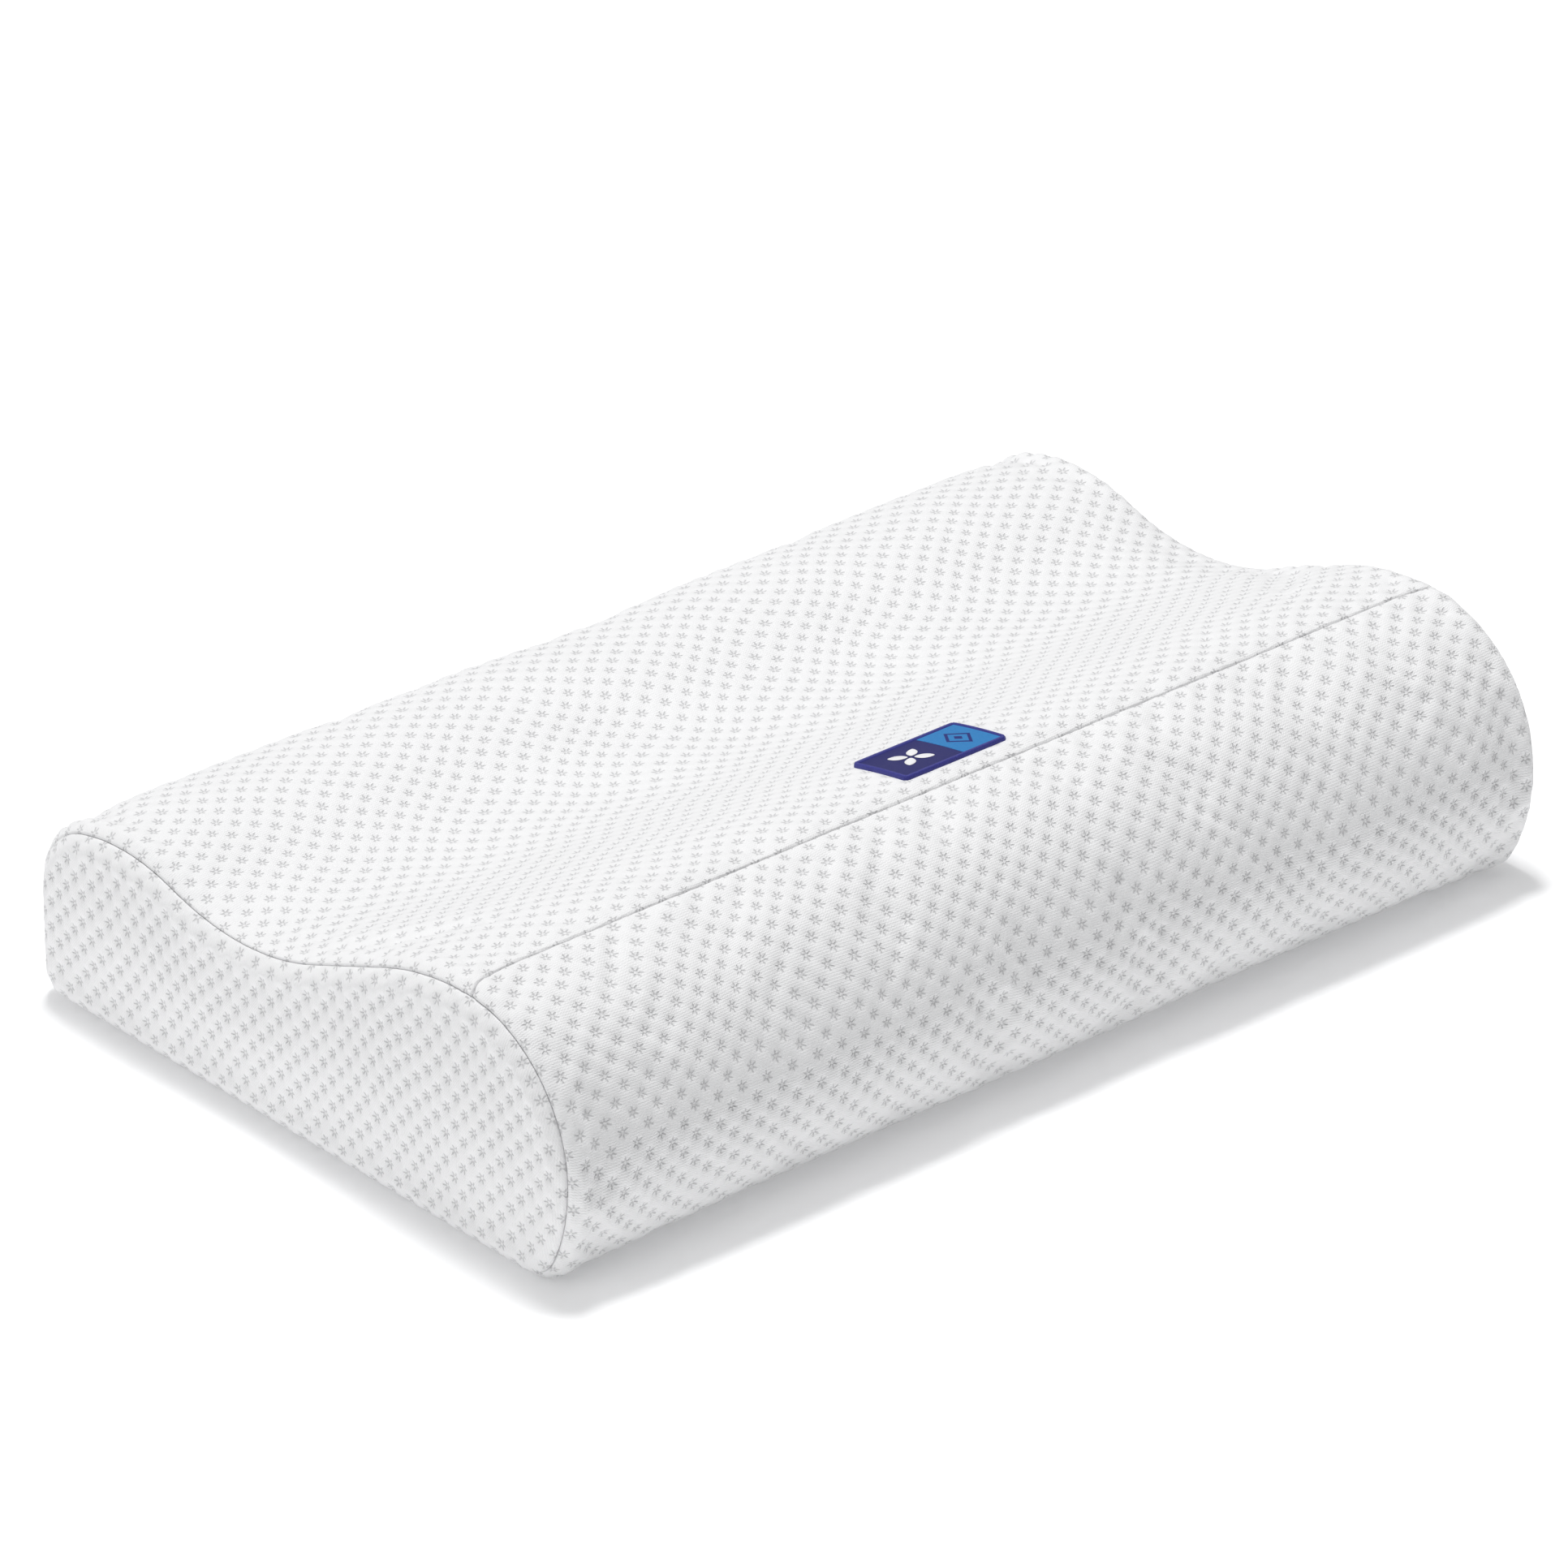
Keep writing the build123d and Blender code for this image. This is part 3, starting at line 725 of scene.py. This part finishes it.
def zip_tape(name, node, material):
    """A woven tape with a ridge near its coil and a slightly uneven weave."""
    low, high = (np.array(corner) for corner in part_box(node))
    x = np.linspace(low[0], high[0], round((high[0] - low[0]) / MM))
    z = np.linspace(low[2], high[2], 36)[:, None]
    inner = np.abs(z - ZIP_Z)
    ridge = 0.16 * MM * np.exp(-(((inner - 3.6 * MM) / (0.5 * MM)) ** 2))
    weave = 0.03 * MM * np.cos(TAU * x / (2 * MM)) * np.cos(TAU * z / (1.4 * MM))
    y = high[1] - 0.15 * MM + ridge + weave
    points = np.stack(np.broadcast_arrays(x, y, z), -1)
    piece = make_piece(name, points, grid_faces(len(z), len(x)), material)
    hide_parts(node)


def build_zip(tape, coil, thread, metal):
    for word, offset in (("upper", -1), ("lower", 1)):
        zip_tape(f"{word}_tape", f"zip_tape_{word}", tape)
        zip_coil(f"{word}_coil", f"zip_coil_{word}", coil)
        row = offset * (ZIP_SLOT / 2 + ZIP_TOPSTITCH)
        topstitching(f"{word}_topstitching", f"zip_stitching_{word}", row, thread)
    for node in ("zip_slider", "zip_pull", "zip_top_stops", "zip_bottom_stop"):
        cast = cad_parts[node]
        cast.data.materials.clear()
        cast.data.materials.append(metal)
        edges = cast.modifiers.new("rounded edges", "BEVEL")
        edges.width = 0.16 * MM
        edges.segments = 2


# ======== the woven label ========


def on_label(a, b, lift):
    """Points on the label: a along X and b back along the section, both from its middle."""
    a, b = np.broadcast_arrays(a, b)
    w, s = LABEL_X + a, LABEL_S + b
    return on_cover(w, s, lift + cover_rise(w, s))


def rounded_rectangle(half_a, half_b, corner, count):
    """An even closed path round a rectangle with rounded corners, and its outward normals."""
    turns = np.radians([np.linspace(start, start + 90, 12) for start in (0, 90, 180, 270)])
    middles = [(sa * (half_a - corner), sb * (half_b - corner))
               for sa, sb in ((1, 1), (-1, 1), (-1, -1), (1, -1))]
    directions = np.stack((np.cos(turns), np.sin(turns)), -1)
    points = (np.array(middles)[:, None] + corner * directions).reshape(-1, 2)
    directions = directions.reshape(-1, 2)
    loop = np.vstack((points, points[:1]))
    along = distances_along(loop)
    places = np.linspace(0, along[-1], count, endpoint=False)
    path = resampled(loop, along, places)
    out = resampled(np.vstack((directions, directions[:1])), along, places)
    return path, out / np.linalg.norm(out, axis=1)[:, None], places


def label_rim(material):
    """The overlocked edge: slanting stitches laid side by side over a round cord."""
    inset = RIM_WIDTH / 2
    path, out, along = rounded_rectangle(
        LABEL_HALF[0] - inset, LABEL_HALF[1] - inset, RIM_CORNER, 1400
    )
    turn = np.linspace(-0.2, math.pi + 0.2, 15)
    ridge = 0.5 + 0.5 * np.cos(TAU * along[:, None] / RIM_STITCH + 0.9 * turn)
    size = 0.92 + 0.08 * ridge**0.6
    reach = RIM_WIDTH / 2 * size * np.cos(turn)
    lift = RIM_HEIGHT * size * np.sin(turn)
    a = path[:, :1] + out[:, :1] * reach
    b = path[:, 1:] + out[:, 1:] * reach
    piece = make_piece("edge_of_label", on_label(a, b, lift),
                       grid_faces(len(along), len(turn), wrap_rows=True), material)
    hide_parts("label_rim")


def label_cloth(name, node, low, high, step, lift, material, ridge=0.0):
    """A flat part of the label, from corner low to corner high, with satin ridges along X."""
    a = np.arange(low[0], high[0], step)
    b = np.arange(low[1], high[1], step)[:, None]
    edge = np.minimum(np.minimum(a - a[0], a[-1] - a), np.minimum(b - b[0], b[-1] - b))
    relief = ridge * np.cos(TAU * b / SATIN_PITCH) - 0.3 * MM * smoothstep(0.4 * MM, 0, edge)
    points = on_label(a, b, lift + relief)
    piece = make_piece(name, points, grid_faces(len(b), len(a)), material)
    marks = np.stack(np.broadcast_arrays(a / MM, b / MM, edge / MM), -1)
    write_attribute(piece, "weave", marks)
    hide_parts(node)


def label_flower(material):
    """Four satin-stitched petals."""
    low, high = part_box("label_motif")
    middle = (low[0] + high[0]) / 2 - LABEL_X
    share = np.linspace(0, 1, 90)[:, None]
    across = np.linspace(-1, 1, 15)
    half_width = PETAL_WIDTH / 2 * np.sin(math.pi * share) ** 0.65
    puff = 0.38 * MM * np.sqrt(np.clip(1 - across**2, 0, 1)) * np.sin(math.pi * share) ** 0.4
    threads = 0.035 * MM * np.cos(TAU * share * PETAL_LENGTH / (0.42 * MM) + 1.2 * across)
    parts = []
    for petal in range(4):
        turn = TAU * (petal + 0.5) / 4
        out = PETAL_GAP + PETAL_LENGTH * share
        a = middle + out * math.cos(turn) - half_width * across * math.sin(turn)
        b = out * math.sin(turn) + half_width * across * math.cos(turn)
        points = on_label(a, b, PETAL_LIFT + puff + threads * (1 - across**2))
        parts.append((points.reshape(-1, 3), grid_faces(*points.shape[:2])))
    piece = make_piece("flower_of_label", *joined(parts), material)
    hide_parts("label_motif")


def build_label(rim, navy, blue, white):
    label_rim(rim)
    reach = np.array(LABEL_HALF) - RIM_WIDTH * 0.6
    label_cloth("ground_of_label", "label_base", -reach, reach, 0.35 * MM, BASE_LIFT, navy)
    low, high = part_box("label_field")
    start = low[0] - LABEL_X, -(reach[1] - 0.5 * MM)
    end = high[0] - LABEL_X + 0.6 * MM, reach[1] - 0.5 * MM
    label_cloth("field_of_label", "label_field", start, end, 0.125 * MM, FIELD_LIFT, blue,
                ridge=0.035 * MM)
    label_flower(white)


# ======== the care ribbon ========


def care_ribbon(material):
    """A blank satin ribbon, folded double, hanging from the back seam."""
    low, high = (np.array(corner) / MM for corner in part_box("care_label"))
    top, fold = high[2], low[2]
    inner, outer = low[1] + 0.3, high[1] - 0.15
    turn = np.linspace(0, math.pi, 7)
    bend_y = (inner + outer) / 2 - (outer - inner) / 2 * np.cos(turn)
    bend_z = fold + 0.6 - 0.6 * np.sin(turn)
    down = np.linspace(top - 1.2, fold + 0.6, 24)
    y = np.concatenate(([inner - 1.2, inner - 0.5], 0 * down + inner, bend_y,
                        0 * down + outer, [inner - 0.2, inner - 1.0]))
    z = np.concatenate(([top, top - 0.4], down, bend_z, down[::-1], [top - 0.1, top + 0.3]))
    x = np.linspace(low[0], high[0], 40)
    drop = np.clip((top - z) / (top - fold), 0, 1)[:, None]
    wave = drop * (0.55 * np.sin(TAU * (x - x[0]) / 24) + 0.9 * drop * (1 + 0.5 * np.cos(x / 5)))
    points = np.stack(np.broadcast_arrays(x + 0.4 * drop, y[:, None] + wave, z[:, None]), -1)
    piece = make_piece("care_ribbon", points * MM, grid_faces(len(y), len(x)), material)
    write_attribute(piece, "weave", np.stack(np.broadcast_arrays(x, z[:, None], drop), -1))
    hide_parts("care_label")


# ======== under the cover ========


def wrapped(inset, rough=0.0, slit=None):
    """A form under the cover, closed at both ends, with room for the zip at the back.

    slit is the distance along the section of a cut that stays open, or None.
    """
    reach = FLAT_HALF + END_RADIUS * math.pi / 2
    w = np.linspace(-reach, reach, round(2 * reach / CORE_STEP))
    count = round(SECTION.length / CORE_STEP)
    if slit is None:
        s = np.linspace(0, SECTION.length, count, endpoint=False)[:, None]
    else:
        s = np.linspace(slit + 0.5 * MM, slit + SECTION.length - 0.5 * MM, count)[:, None]
    from_zip = np.abs(np.mod(s, SECTION.length) - BACK_SEAM_S)
    relief = ZIP_RELIEF * smoothstep(*ZIP_RELIEF_EDGE, from_zip)
    relief = relief * smoothstep(*ZIP_RELIEF_END, np.abs(w))
    bumps = rough * (Wander(71)(3 * w, 3 * s) + 0.5 * Wander(73)(9 * w, 9 * s))
    points = on_cover(w, s, -inset - relief + bumps)
    faces = grid_faces(count, len(w), wrap_rows=slit is None)
    rings = [list(range(column, count * len(w), len(w))) for column in (0, len(w) - 1)]
    return points, faces + [rings[0], rings[1][::-1]]


def build_core(foam, jersey, thread):
    core = make_piece("foam_block", *wrapped(FOAM_INSET, rough=0.1 * MM), foam)
    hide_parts("foam_core")

    low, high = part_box("inner_cover_seam")
    slit = SECTION.distance_to((low[1] + high[1]) / 2, 0)
    sock = make_piece("inner_sock", *wrapped(INNER_COVER_INSET, slit=slit), jersey)
    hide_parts("inner_cover")
    flat = SECTION.length, 2 * HALF_LENGTH + (CAD_BOX[1][2] - CAD_BOX[0][2])

    w = np.arange(low[0], high[0], 0.7 * MM)
    path = on_cover(w, np.full(len(w), slit), np.full(len(w), -INNER_COVER_INSET))
    down = np.broadcast_to((0.0, 0.0, -1.0), path.shape)
    nipped = 0.7 + 0.3 * np.abs(np.sin(math.pi * w / SEAM_STITCH))
    seam = make_piece("inner_thread", *tube(path, down, 0.45 * MM * nipped), thread)
    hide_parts("inner_cover_seam")


# ======== materials ========


class Signal:
    """A shader value that plain arithmetic works on, each step adding a Math node."""

    def __init__(self, tree, socket):
        self.tree, self.socket = tree, socket

    def math(self, operation, *others, clamp=False):
        node = self.tree.nodes.new("ShaderNodeMath")
        node.operation = operation
        node.use_clamp = clamp
        for place, value in zip(node.inputs, (self, *others)):
            if isinstance(value, Signal):
                self.tree.links.new(value.socket, place)
            else:
                place.default_value = value
        return Signal(self.tree, node.outputs[0])

    def __add__(self, other):
        return self.math("ADD", other)

    def __sub__(self, other):
        return self.math("SUBTRACT", other)

    def __mul__(self, other):
        return self.math("MULTIPLY", other)

    def __truediv__(self, other):
        return self.math("DIVIDE", other)

    def ramp(self, low, high):
        """0 at low, 1 at high, eased between; low may be the larger."""
        node = self.tree.nodes.new("ShaderNodeMapRange")
        node.interpolation_type = "SMOOTHSTEP"
        self.tree.links.new(self.socket, node.inputs["Value"])
        node.inputs["From Min"].default_value = low
        node.inputs["From Max"].default_value = high
        return Signal(self.tree, node.outputs[0])


class Look:
    """A material on one Principled shader, with helpers for its node network."""

    def __init__(self, name, roughness=0.5, **sockets):
        self.material = bpy.data.materials.new(name)
        self.material.use_nodes = True
        self.tree = self.material.node_tree
        self.shader = self.tree.nodes["Principled BSDF"]
        for key, value in {"roughness": roughness, **sockets}.items():
            socket = key.replace("_", " ").title().replace("Ior", "IOR")
            self.shader.inputs[socket].default_value = value

    def node(self, kind, inputs):
        """A new node. inputs gives, by socket, a value or the output that feeds it."""
        node = self.tree.nodes.new("ShaderNode" + kind)
        for key, value in inputs.items():
            if isinstance(value, bpy.types.NodeSocket):
                self.tree.links.new(value, node.inputs[key])
            else:
                node.inputs[key].default_value = value
        return node

    def parts(self, vector):
        split = self.node("SeparateXYZ", {0: vector})
        return [Signal(self.tree, out) for out in split.outputs]

    def attribute(self, name):
        """The three parts of a mesh attribute."""
        node = self.node("Attribute", {})
        node.attribute_name = name
        return self.parts(node.outputs["Vector"])

    def object_space(self):
        return self.node("TexCoord", {}).outputs["Object"]

    def place(self):
        """The three parts of the place in object space, in metres."""
        return self.parts(self.object_space())

    def noise(self, scale, detail=2.0, roughness=0.5, stretch=(1, 1, 1)):
        """Noise in object space, about 0.5."""
        sized = self.node("Mapping", {"Vector": self.object_space(), "Scale": stretch})
        settings = {"Scale": scale, "Detail": detail, "Roughness": roughness}
        node = self.node("TexNoise", {"Vector": sized.outputs[0], **settings})
        return Signal(self.tree, node.outputs[0])

    def voronoi(self, scale):
        node = self.node("TexVoronoi", {"Vector": self.object_space(), "Scale": scale})
        return Signal(self.tree, node.outputs["Distance"])

    def colour(self, share, low, high):
        """Makes the base colour a blend by share. low is a colour or an earlier blend."""
        below = low if isinstance(low, bpy.types.NodeSocket) else (*low, 1)
        share = share.math("MAXIMUM", 0.0, clamp=True).socket
        node = self.node("Mix", {0: share, 6: below, 7: (*high, 1)})
        node.data_type = "RGBA"
        self.tree.links.new(node.outputs[2], self.shader.inputs["Base Color"])
        return node.outputs[2]

    def bump(self, height, distance, strength=1.0):
        inputs = {"Height": height.socket, "Distance": distance, "Strength": strength}
        node = self.node("Bump", inputs)
        self.tree.links.new(node.outputs[0], self.shader.inputs["Normal"])


def motif_marks(u, v, offset, fuzz):
    """Six short strokes round each motif of one half of the lattice, and the shade about it."""
    local = []
    for part, pitch in zip((u, v), MOTIF_PITCH):
        local.append(((part + (0.5 + offset)).math("FRACT") - 0.5) * pitch)
    x, y = local
    radius = (x * x + y * y).math("SQRT")
    angle = y.math("ARCTAN2", x)
    beside = radius * (angle * 3.0).math("COSINE").math("ABSOLUTE") / 3.0
    radius = radius + fuzz * 0.5
    stroke = (beside + fuzz * 0.2).ramp(STROKE_HALF_WIDTH, 0.10)
    stroke = stroke * radius.ramp(STROKE_ENDS[0], 0.85) * radius.ramp(STROKE_ENDS[1], 1.9)
    shade = radius.ramp(SHADE_RADIUS, 0.4)
    return stroke, shade


def cover_fabric():
    """White air-layer knit: fine ribs, a lattice of stitched-down motifs, a soft sheen."""
    look = Look("cover_fabric", roughness=0.92, sheen_weight=0.25, sheen_roughness=0.45,
                specular_ior_level=0.2)
    u, v, seam = look.attribute("knit")
    fuzz = look.noise(900, detail=3) - 0.5
    first = motif_marks(u, v, 0.0, fuzz)
    second = motif_marks(u, v, 0.5, fuzz)
    stroke = first[0].math("MAXIMUM", second[0])
    shade = first[1].math("MAXIMUM", second[1])
    zigzag = (u * (TAU * MOTIF_PITCH[0] / ZIGZAG_PITCH)).math("SINE")
    ribs = (v * (TAU * MOTIF_PITCH[1] / RIB_PITCH) + zigzag * 0.9).math("SINE")
    lint = look.noise(2600, detail=4, roughness=0.7)
    clouds = look.noise(14, detail=2)
    # Painted shade: the colour darkens at the strokes (the motif's denser thread, plus painted
    # shade in its grooves), round each motif (painted shade of the dimples) and within 1.3 mm of
    # the seams (painted shade of the seam's roll). Ribs, lint and clouds are the knit's own uneven
    # tone.
    marks_and_painted_shade = stroke * 0.29 + shade * 0.05 + seam.ramp(1.3, 0.2) * 0.07
    marks_and_painted_shade = marks_and_painted_shade + (ribs * 0.02) + (lint - 0.5) * 0.07 + (clouds - 0.5) * 0.05
    look.colour(marks_and_painted_shade, (0.915, 0.915, 0.922), (0.16, 0.16, 0.175))
    height = ribs * 0.11 + lint * 0.3 - stroke * 0.55 - shade * 0.1
    look.bump(height, 0.5 * MM, strength=0.8)
    return look.material


def sewing_thread(name, low, high):
    """Spun polyester: fine, slanting fibres and a little lint."""
    look = Look(name, roughness=0.75, sheen_weight=0.3)
    fibres = look.noise(2400, detail=3, stretch=(1, 0.25, 0.25))
    look.colour(fibres, low, high)
    look.bump(fibres, 0.1 * MM)
    return look.material


def memory_foam():
    """Cream foam, open pores and slow patches of tone."""
    look = Look("memory_foam", roughness=0.95, subsurface_weight=0.1)
    pores = look.voronoi(900).ramp(0.0, 0.5)
    cloud = look.noise(35, detail=3)
    # The pores are painted darker, as painted shade in their pits. The clouds are the foam's own
    # uneven tone.
    look.colour(pores * 0.6 + cloud * 0.5, (0.62, 0.57, 0.44), (0.86, 0.83, 0.72))
    look.bump(pores + look.noise(300, detail=4) * 0.6, 0.5 * MM)
    return look.material


def inner_jersey():
    """Thin off-white jersey with fine wales."""
    look = Look("inner_jersey", roughness=0.9, sheen_weight=0.25)
    x = look.place()[0]
    wales = (x * (TAU / (0.9 * MM))).math("SINE")
    look.colour(look.noise(500, detail=3) + wales * 0.1, (0.74, 0.74, 0.72), (0.88, 0.88, 0.86))
    look.bump(wales + look.noise(1500) * 0.8, 0.2 * MM)
    return look.material


def zip_tape_cloth():
    """White herringbone tape."""
    look = Look("zip_tape_cloth", roughness=0.85, sheen_weight=0.2)
    x, _, z = look.place()
    zigzag = (z * (TAU / (3.0 * MM))).math("SINE").math("ABSOLUTE")
    twill = (x * (TAU / (0.7 * MM)) + zigzag * 6.0).math("SINE")
    look.colour(twill * 0.3 + look.noise(900, detail=3), (0.66, 0.66, 0.67), (0.86, 0.86, 0.87))
    look.bump(twill, 0.15 * MM)
    return look.material


def coil_nylon():
    look = Look("coil_nylon", roughness=0.3, subsurface_weight=0.15, specular_ior_level=0.55)
    look.colour(look.noise(260, detail=2), (0.78, 0.78, 0.79), (0.9, 0.9, 0.9))
    look.bump(look.noise(1800, detail=2), 0.04 * MM)
    return look.material


def painted_metal():
    """White baked enamel over zinc, thin and grey in rubbed patches."""
    look = Look("painted_metal", roughness=0.32, metallic=0.0, coat_weight=0.3)
    rubbed = look.noise(420, detail=5, roughness=0.65).ramp(0.58, 0.8)
    look.colour(rubbed, (0.8, 0.8, 0.81), (0.56, 0.56, 0.57))
    look.bump(look.noise(700, detail=3), 0.05 * MM)
    return look.material


def label_rim_thread():
    look = Look("label_rim_thread", roughness=0.5, sheen_weight=0.12, specular_ior_level=0.35)
    fibres = look.noise(2200, detail=3)
    look.colour(fibres, (0.014, 0.014, 0.13), (0.05, 0.052, 0.36))
    look.bump(fibres, 0.12 * MM)
    return look.material


def label_satin(name, low, high, mark=None):
    """Satin weave in rows along X, with a plain diamond worked in mark's colour if given."""
    look = Look(name, roughness=0.55, sheen_weight=0.06, sheen_roughness=0.4,
                specular_ior_level=0.25)
    a, b, _ = look.attribute("weave")
    rows = (b * (TAU / 0.5)).math("SINE")
    picks = (a * (TAU / 0.9) + b * (TAU / 2.1)).math("SINE")
    worn = look.noise(1300, detail=3)
    share = worn * 0.7 + rows * 0.12 + picks * 0.08
    base = look.colour(share, low, high)
    if mark:
        ring = (a - MARK_X).math("ABSOLUTE") / MARK_LENGTH + b.math("ABSOLUTE") / MARK_WIDTH
        drawn = ring.ramp(1.03, 0.98) * ring.ramp(0.72, 0.77)
        heart = ring.ramp(0.33, 0.28)
        look.colour(drawn.math("MAXIMUM", heart), base, mark)
    look.bump(rows * 0.5 + picks * 0.35 + worn * 0.3, 0.12 * MM)
    return look.material


def white_satin(name):
    look = Look(name, roughness=0.55, sheen_weight=0.3)
    look.colour(look.noise(1700, detail=3), (0.8, 0.8, 0.82), (0.93, 0.93, 0.94))
    look.bump(look.noise(2600, detail=2, stretch=(0.3, 1, 1)), 0.08 * MM)
    return look.material


def floor_white():
    look = Look("studio_floor", roughness=0.9, specular_ior_level=0.1)
    look.colour(look.noise(3, detail=1), (0.93, 0.935, 0.94), (0.95, 0.95, 0.955))
    return look.material


# ======== studio ========


def soft_light(name, place, aim, size, power):
    lamp = bpy.data.lights.new(name, "AREA")
    lamp.shape = "SQUARE"
    lamp.size = size
    lamp.energy = power
    holder = bpy.data.objects.new(name, lamp)
    holder.location = place
    holder.rotation_euler = (Vector(aim) - Vector(place)).to_track_quat("-Z", "Y").to_euler()
    bpy.context.scene.collection.objects.link(holder)
    return holder


def build_studio():
    """A white floor, an even soft sky, a light above, a fill on the left, a wash on the floor."""
    scene = bpy.context.scene
    scene.view_settings.view_transform = "Standard"
    world = bpy.data.worlds.new("studio")
    scene.world = world
    world.use_nodes = True
    background = world.node_tree.nodes["Background"]
    background.inputs["Color"].default_value = (1.0, 1.0, 1.0, 1)
    background.inputs["Strength"].default_value = 0.28

    size = 6.0
    corners = [(-size, -size, 0), (size, -size, 0), (size, size, 0), (-size, size, 0)]
    mesh = bpy.data.meshes.new("floor")
    mesh.from_pydata(corners, [], [(0, 1, 2, 3)])
    mesh.materials.append(floor_white())
    floor = bpy.data.objects.new("floor", mesh)
    scene.collection.objects.link(floor)

    soft_light("overhead", (0.1, 0.28, 2.5), (0, 0, 0), 0.55, 45)
    soft_light("left_fill", (-2.8, 0.5, 1.3), (0, 0, 0.05), 2.4, 18)
    wash = soft_light("floor_wash", (0, 0, 3.2), (0, 0, 0), 3.5, 46)
    floor_only = bpy.data.collections.new("floor_only")
    floor_only.objects.link(floor)
    wash.light_linking.receiver_collection = floor_only
    wash.light_linking.blocker_collection = floor_only


def build_camera():
    """The camera stands front left, a little above, with a long lens."""
    camera = bpy.data.cameras.new("camera")
    camera.lens = 234.7
    camera.sensor_width = 36
    camera.clip_end = 20
    holder = bpy.data.objects.new("camera", camera)
    holder.location = (-2.20352, -2.49866, 1.81207)
    looking = Vector((0.58494055, 0.66471201, -0.46476069))
    holder.rotation_euler = looking.to_track_quat("-Z", "Y").to_euler()
    bpy.context.scene.collection.objects.link(holder)
    bpy.context.scene.camera = holder


# ======== the scene ========

build_camera()
build_studio()
build_cover(cover_fabric())
# The seam thread is greyer than the white thread: its grey is painted shade of the seam's groove.
build_seam_threads(sewing_thread("seam_polyester_painted_shade", (0.4, 0.4, 0.41), (0.62, 0.62, 0.63)))
white_thread = sewing_thread("white_polyester", (0.6, 0.6, 0.61), (0.85, 0.85, 0.86))
build_zip(zip_tape_cloth(), coil_nylon(), white_thread, painted_metal())
build_label(
    label_rim_thread(),
    label_satin("navy_satin", (0.016, 0.017, 0.12), (0.03, 0.032, 0.2)),
    label_satin("blue_satin", (0.024, 0.2, 0.52), (0.052, 0.31, 0.68), mark=(0.02, 0.03, 0.2)),
    white_satin("white_satin_stitch"),
)
care_ribbon(white_satin("ribbon_satin"))
build_core(memory_foam(), inner_jersey(), white_thread)
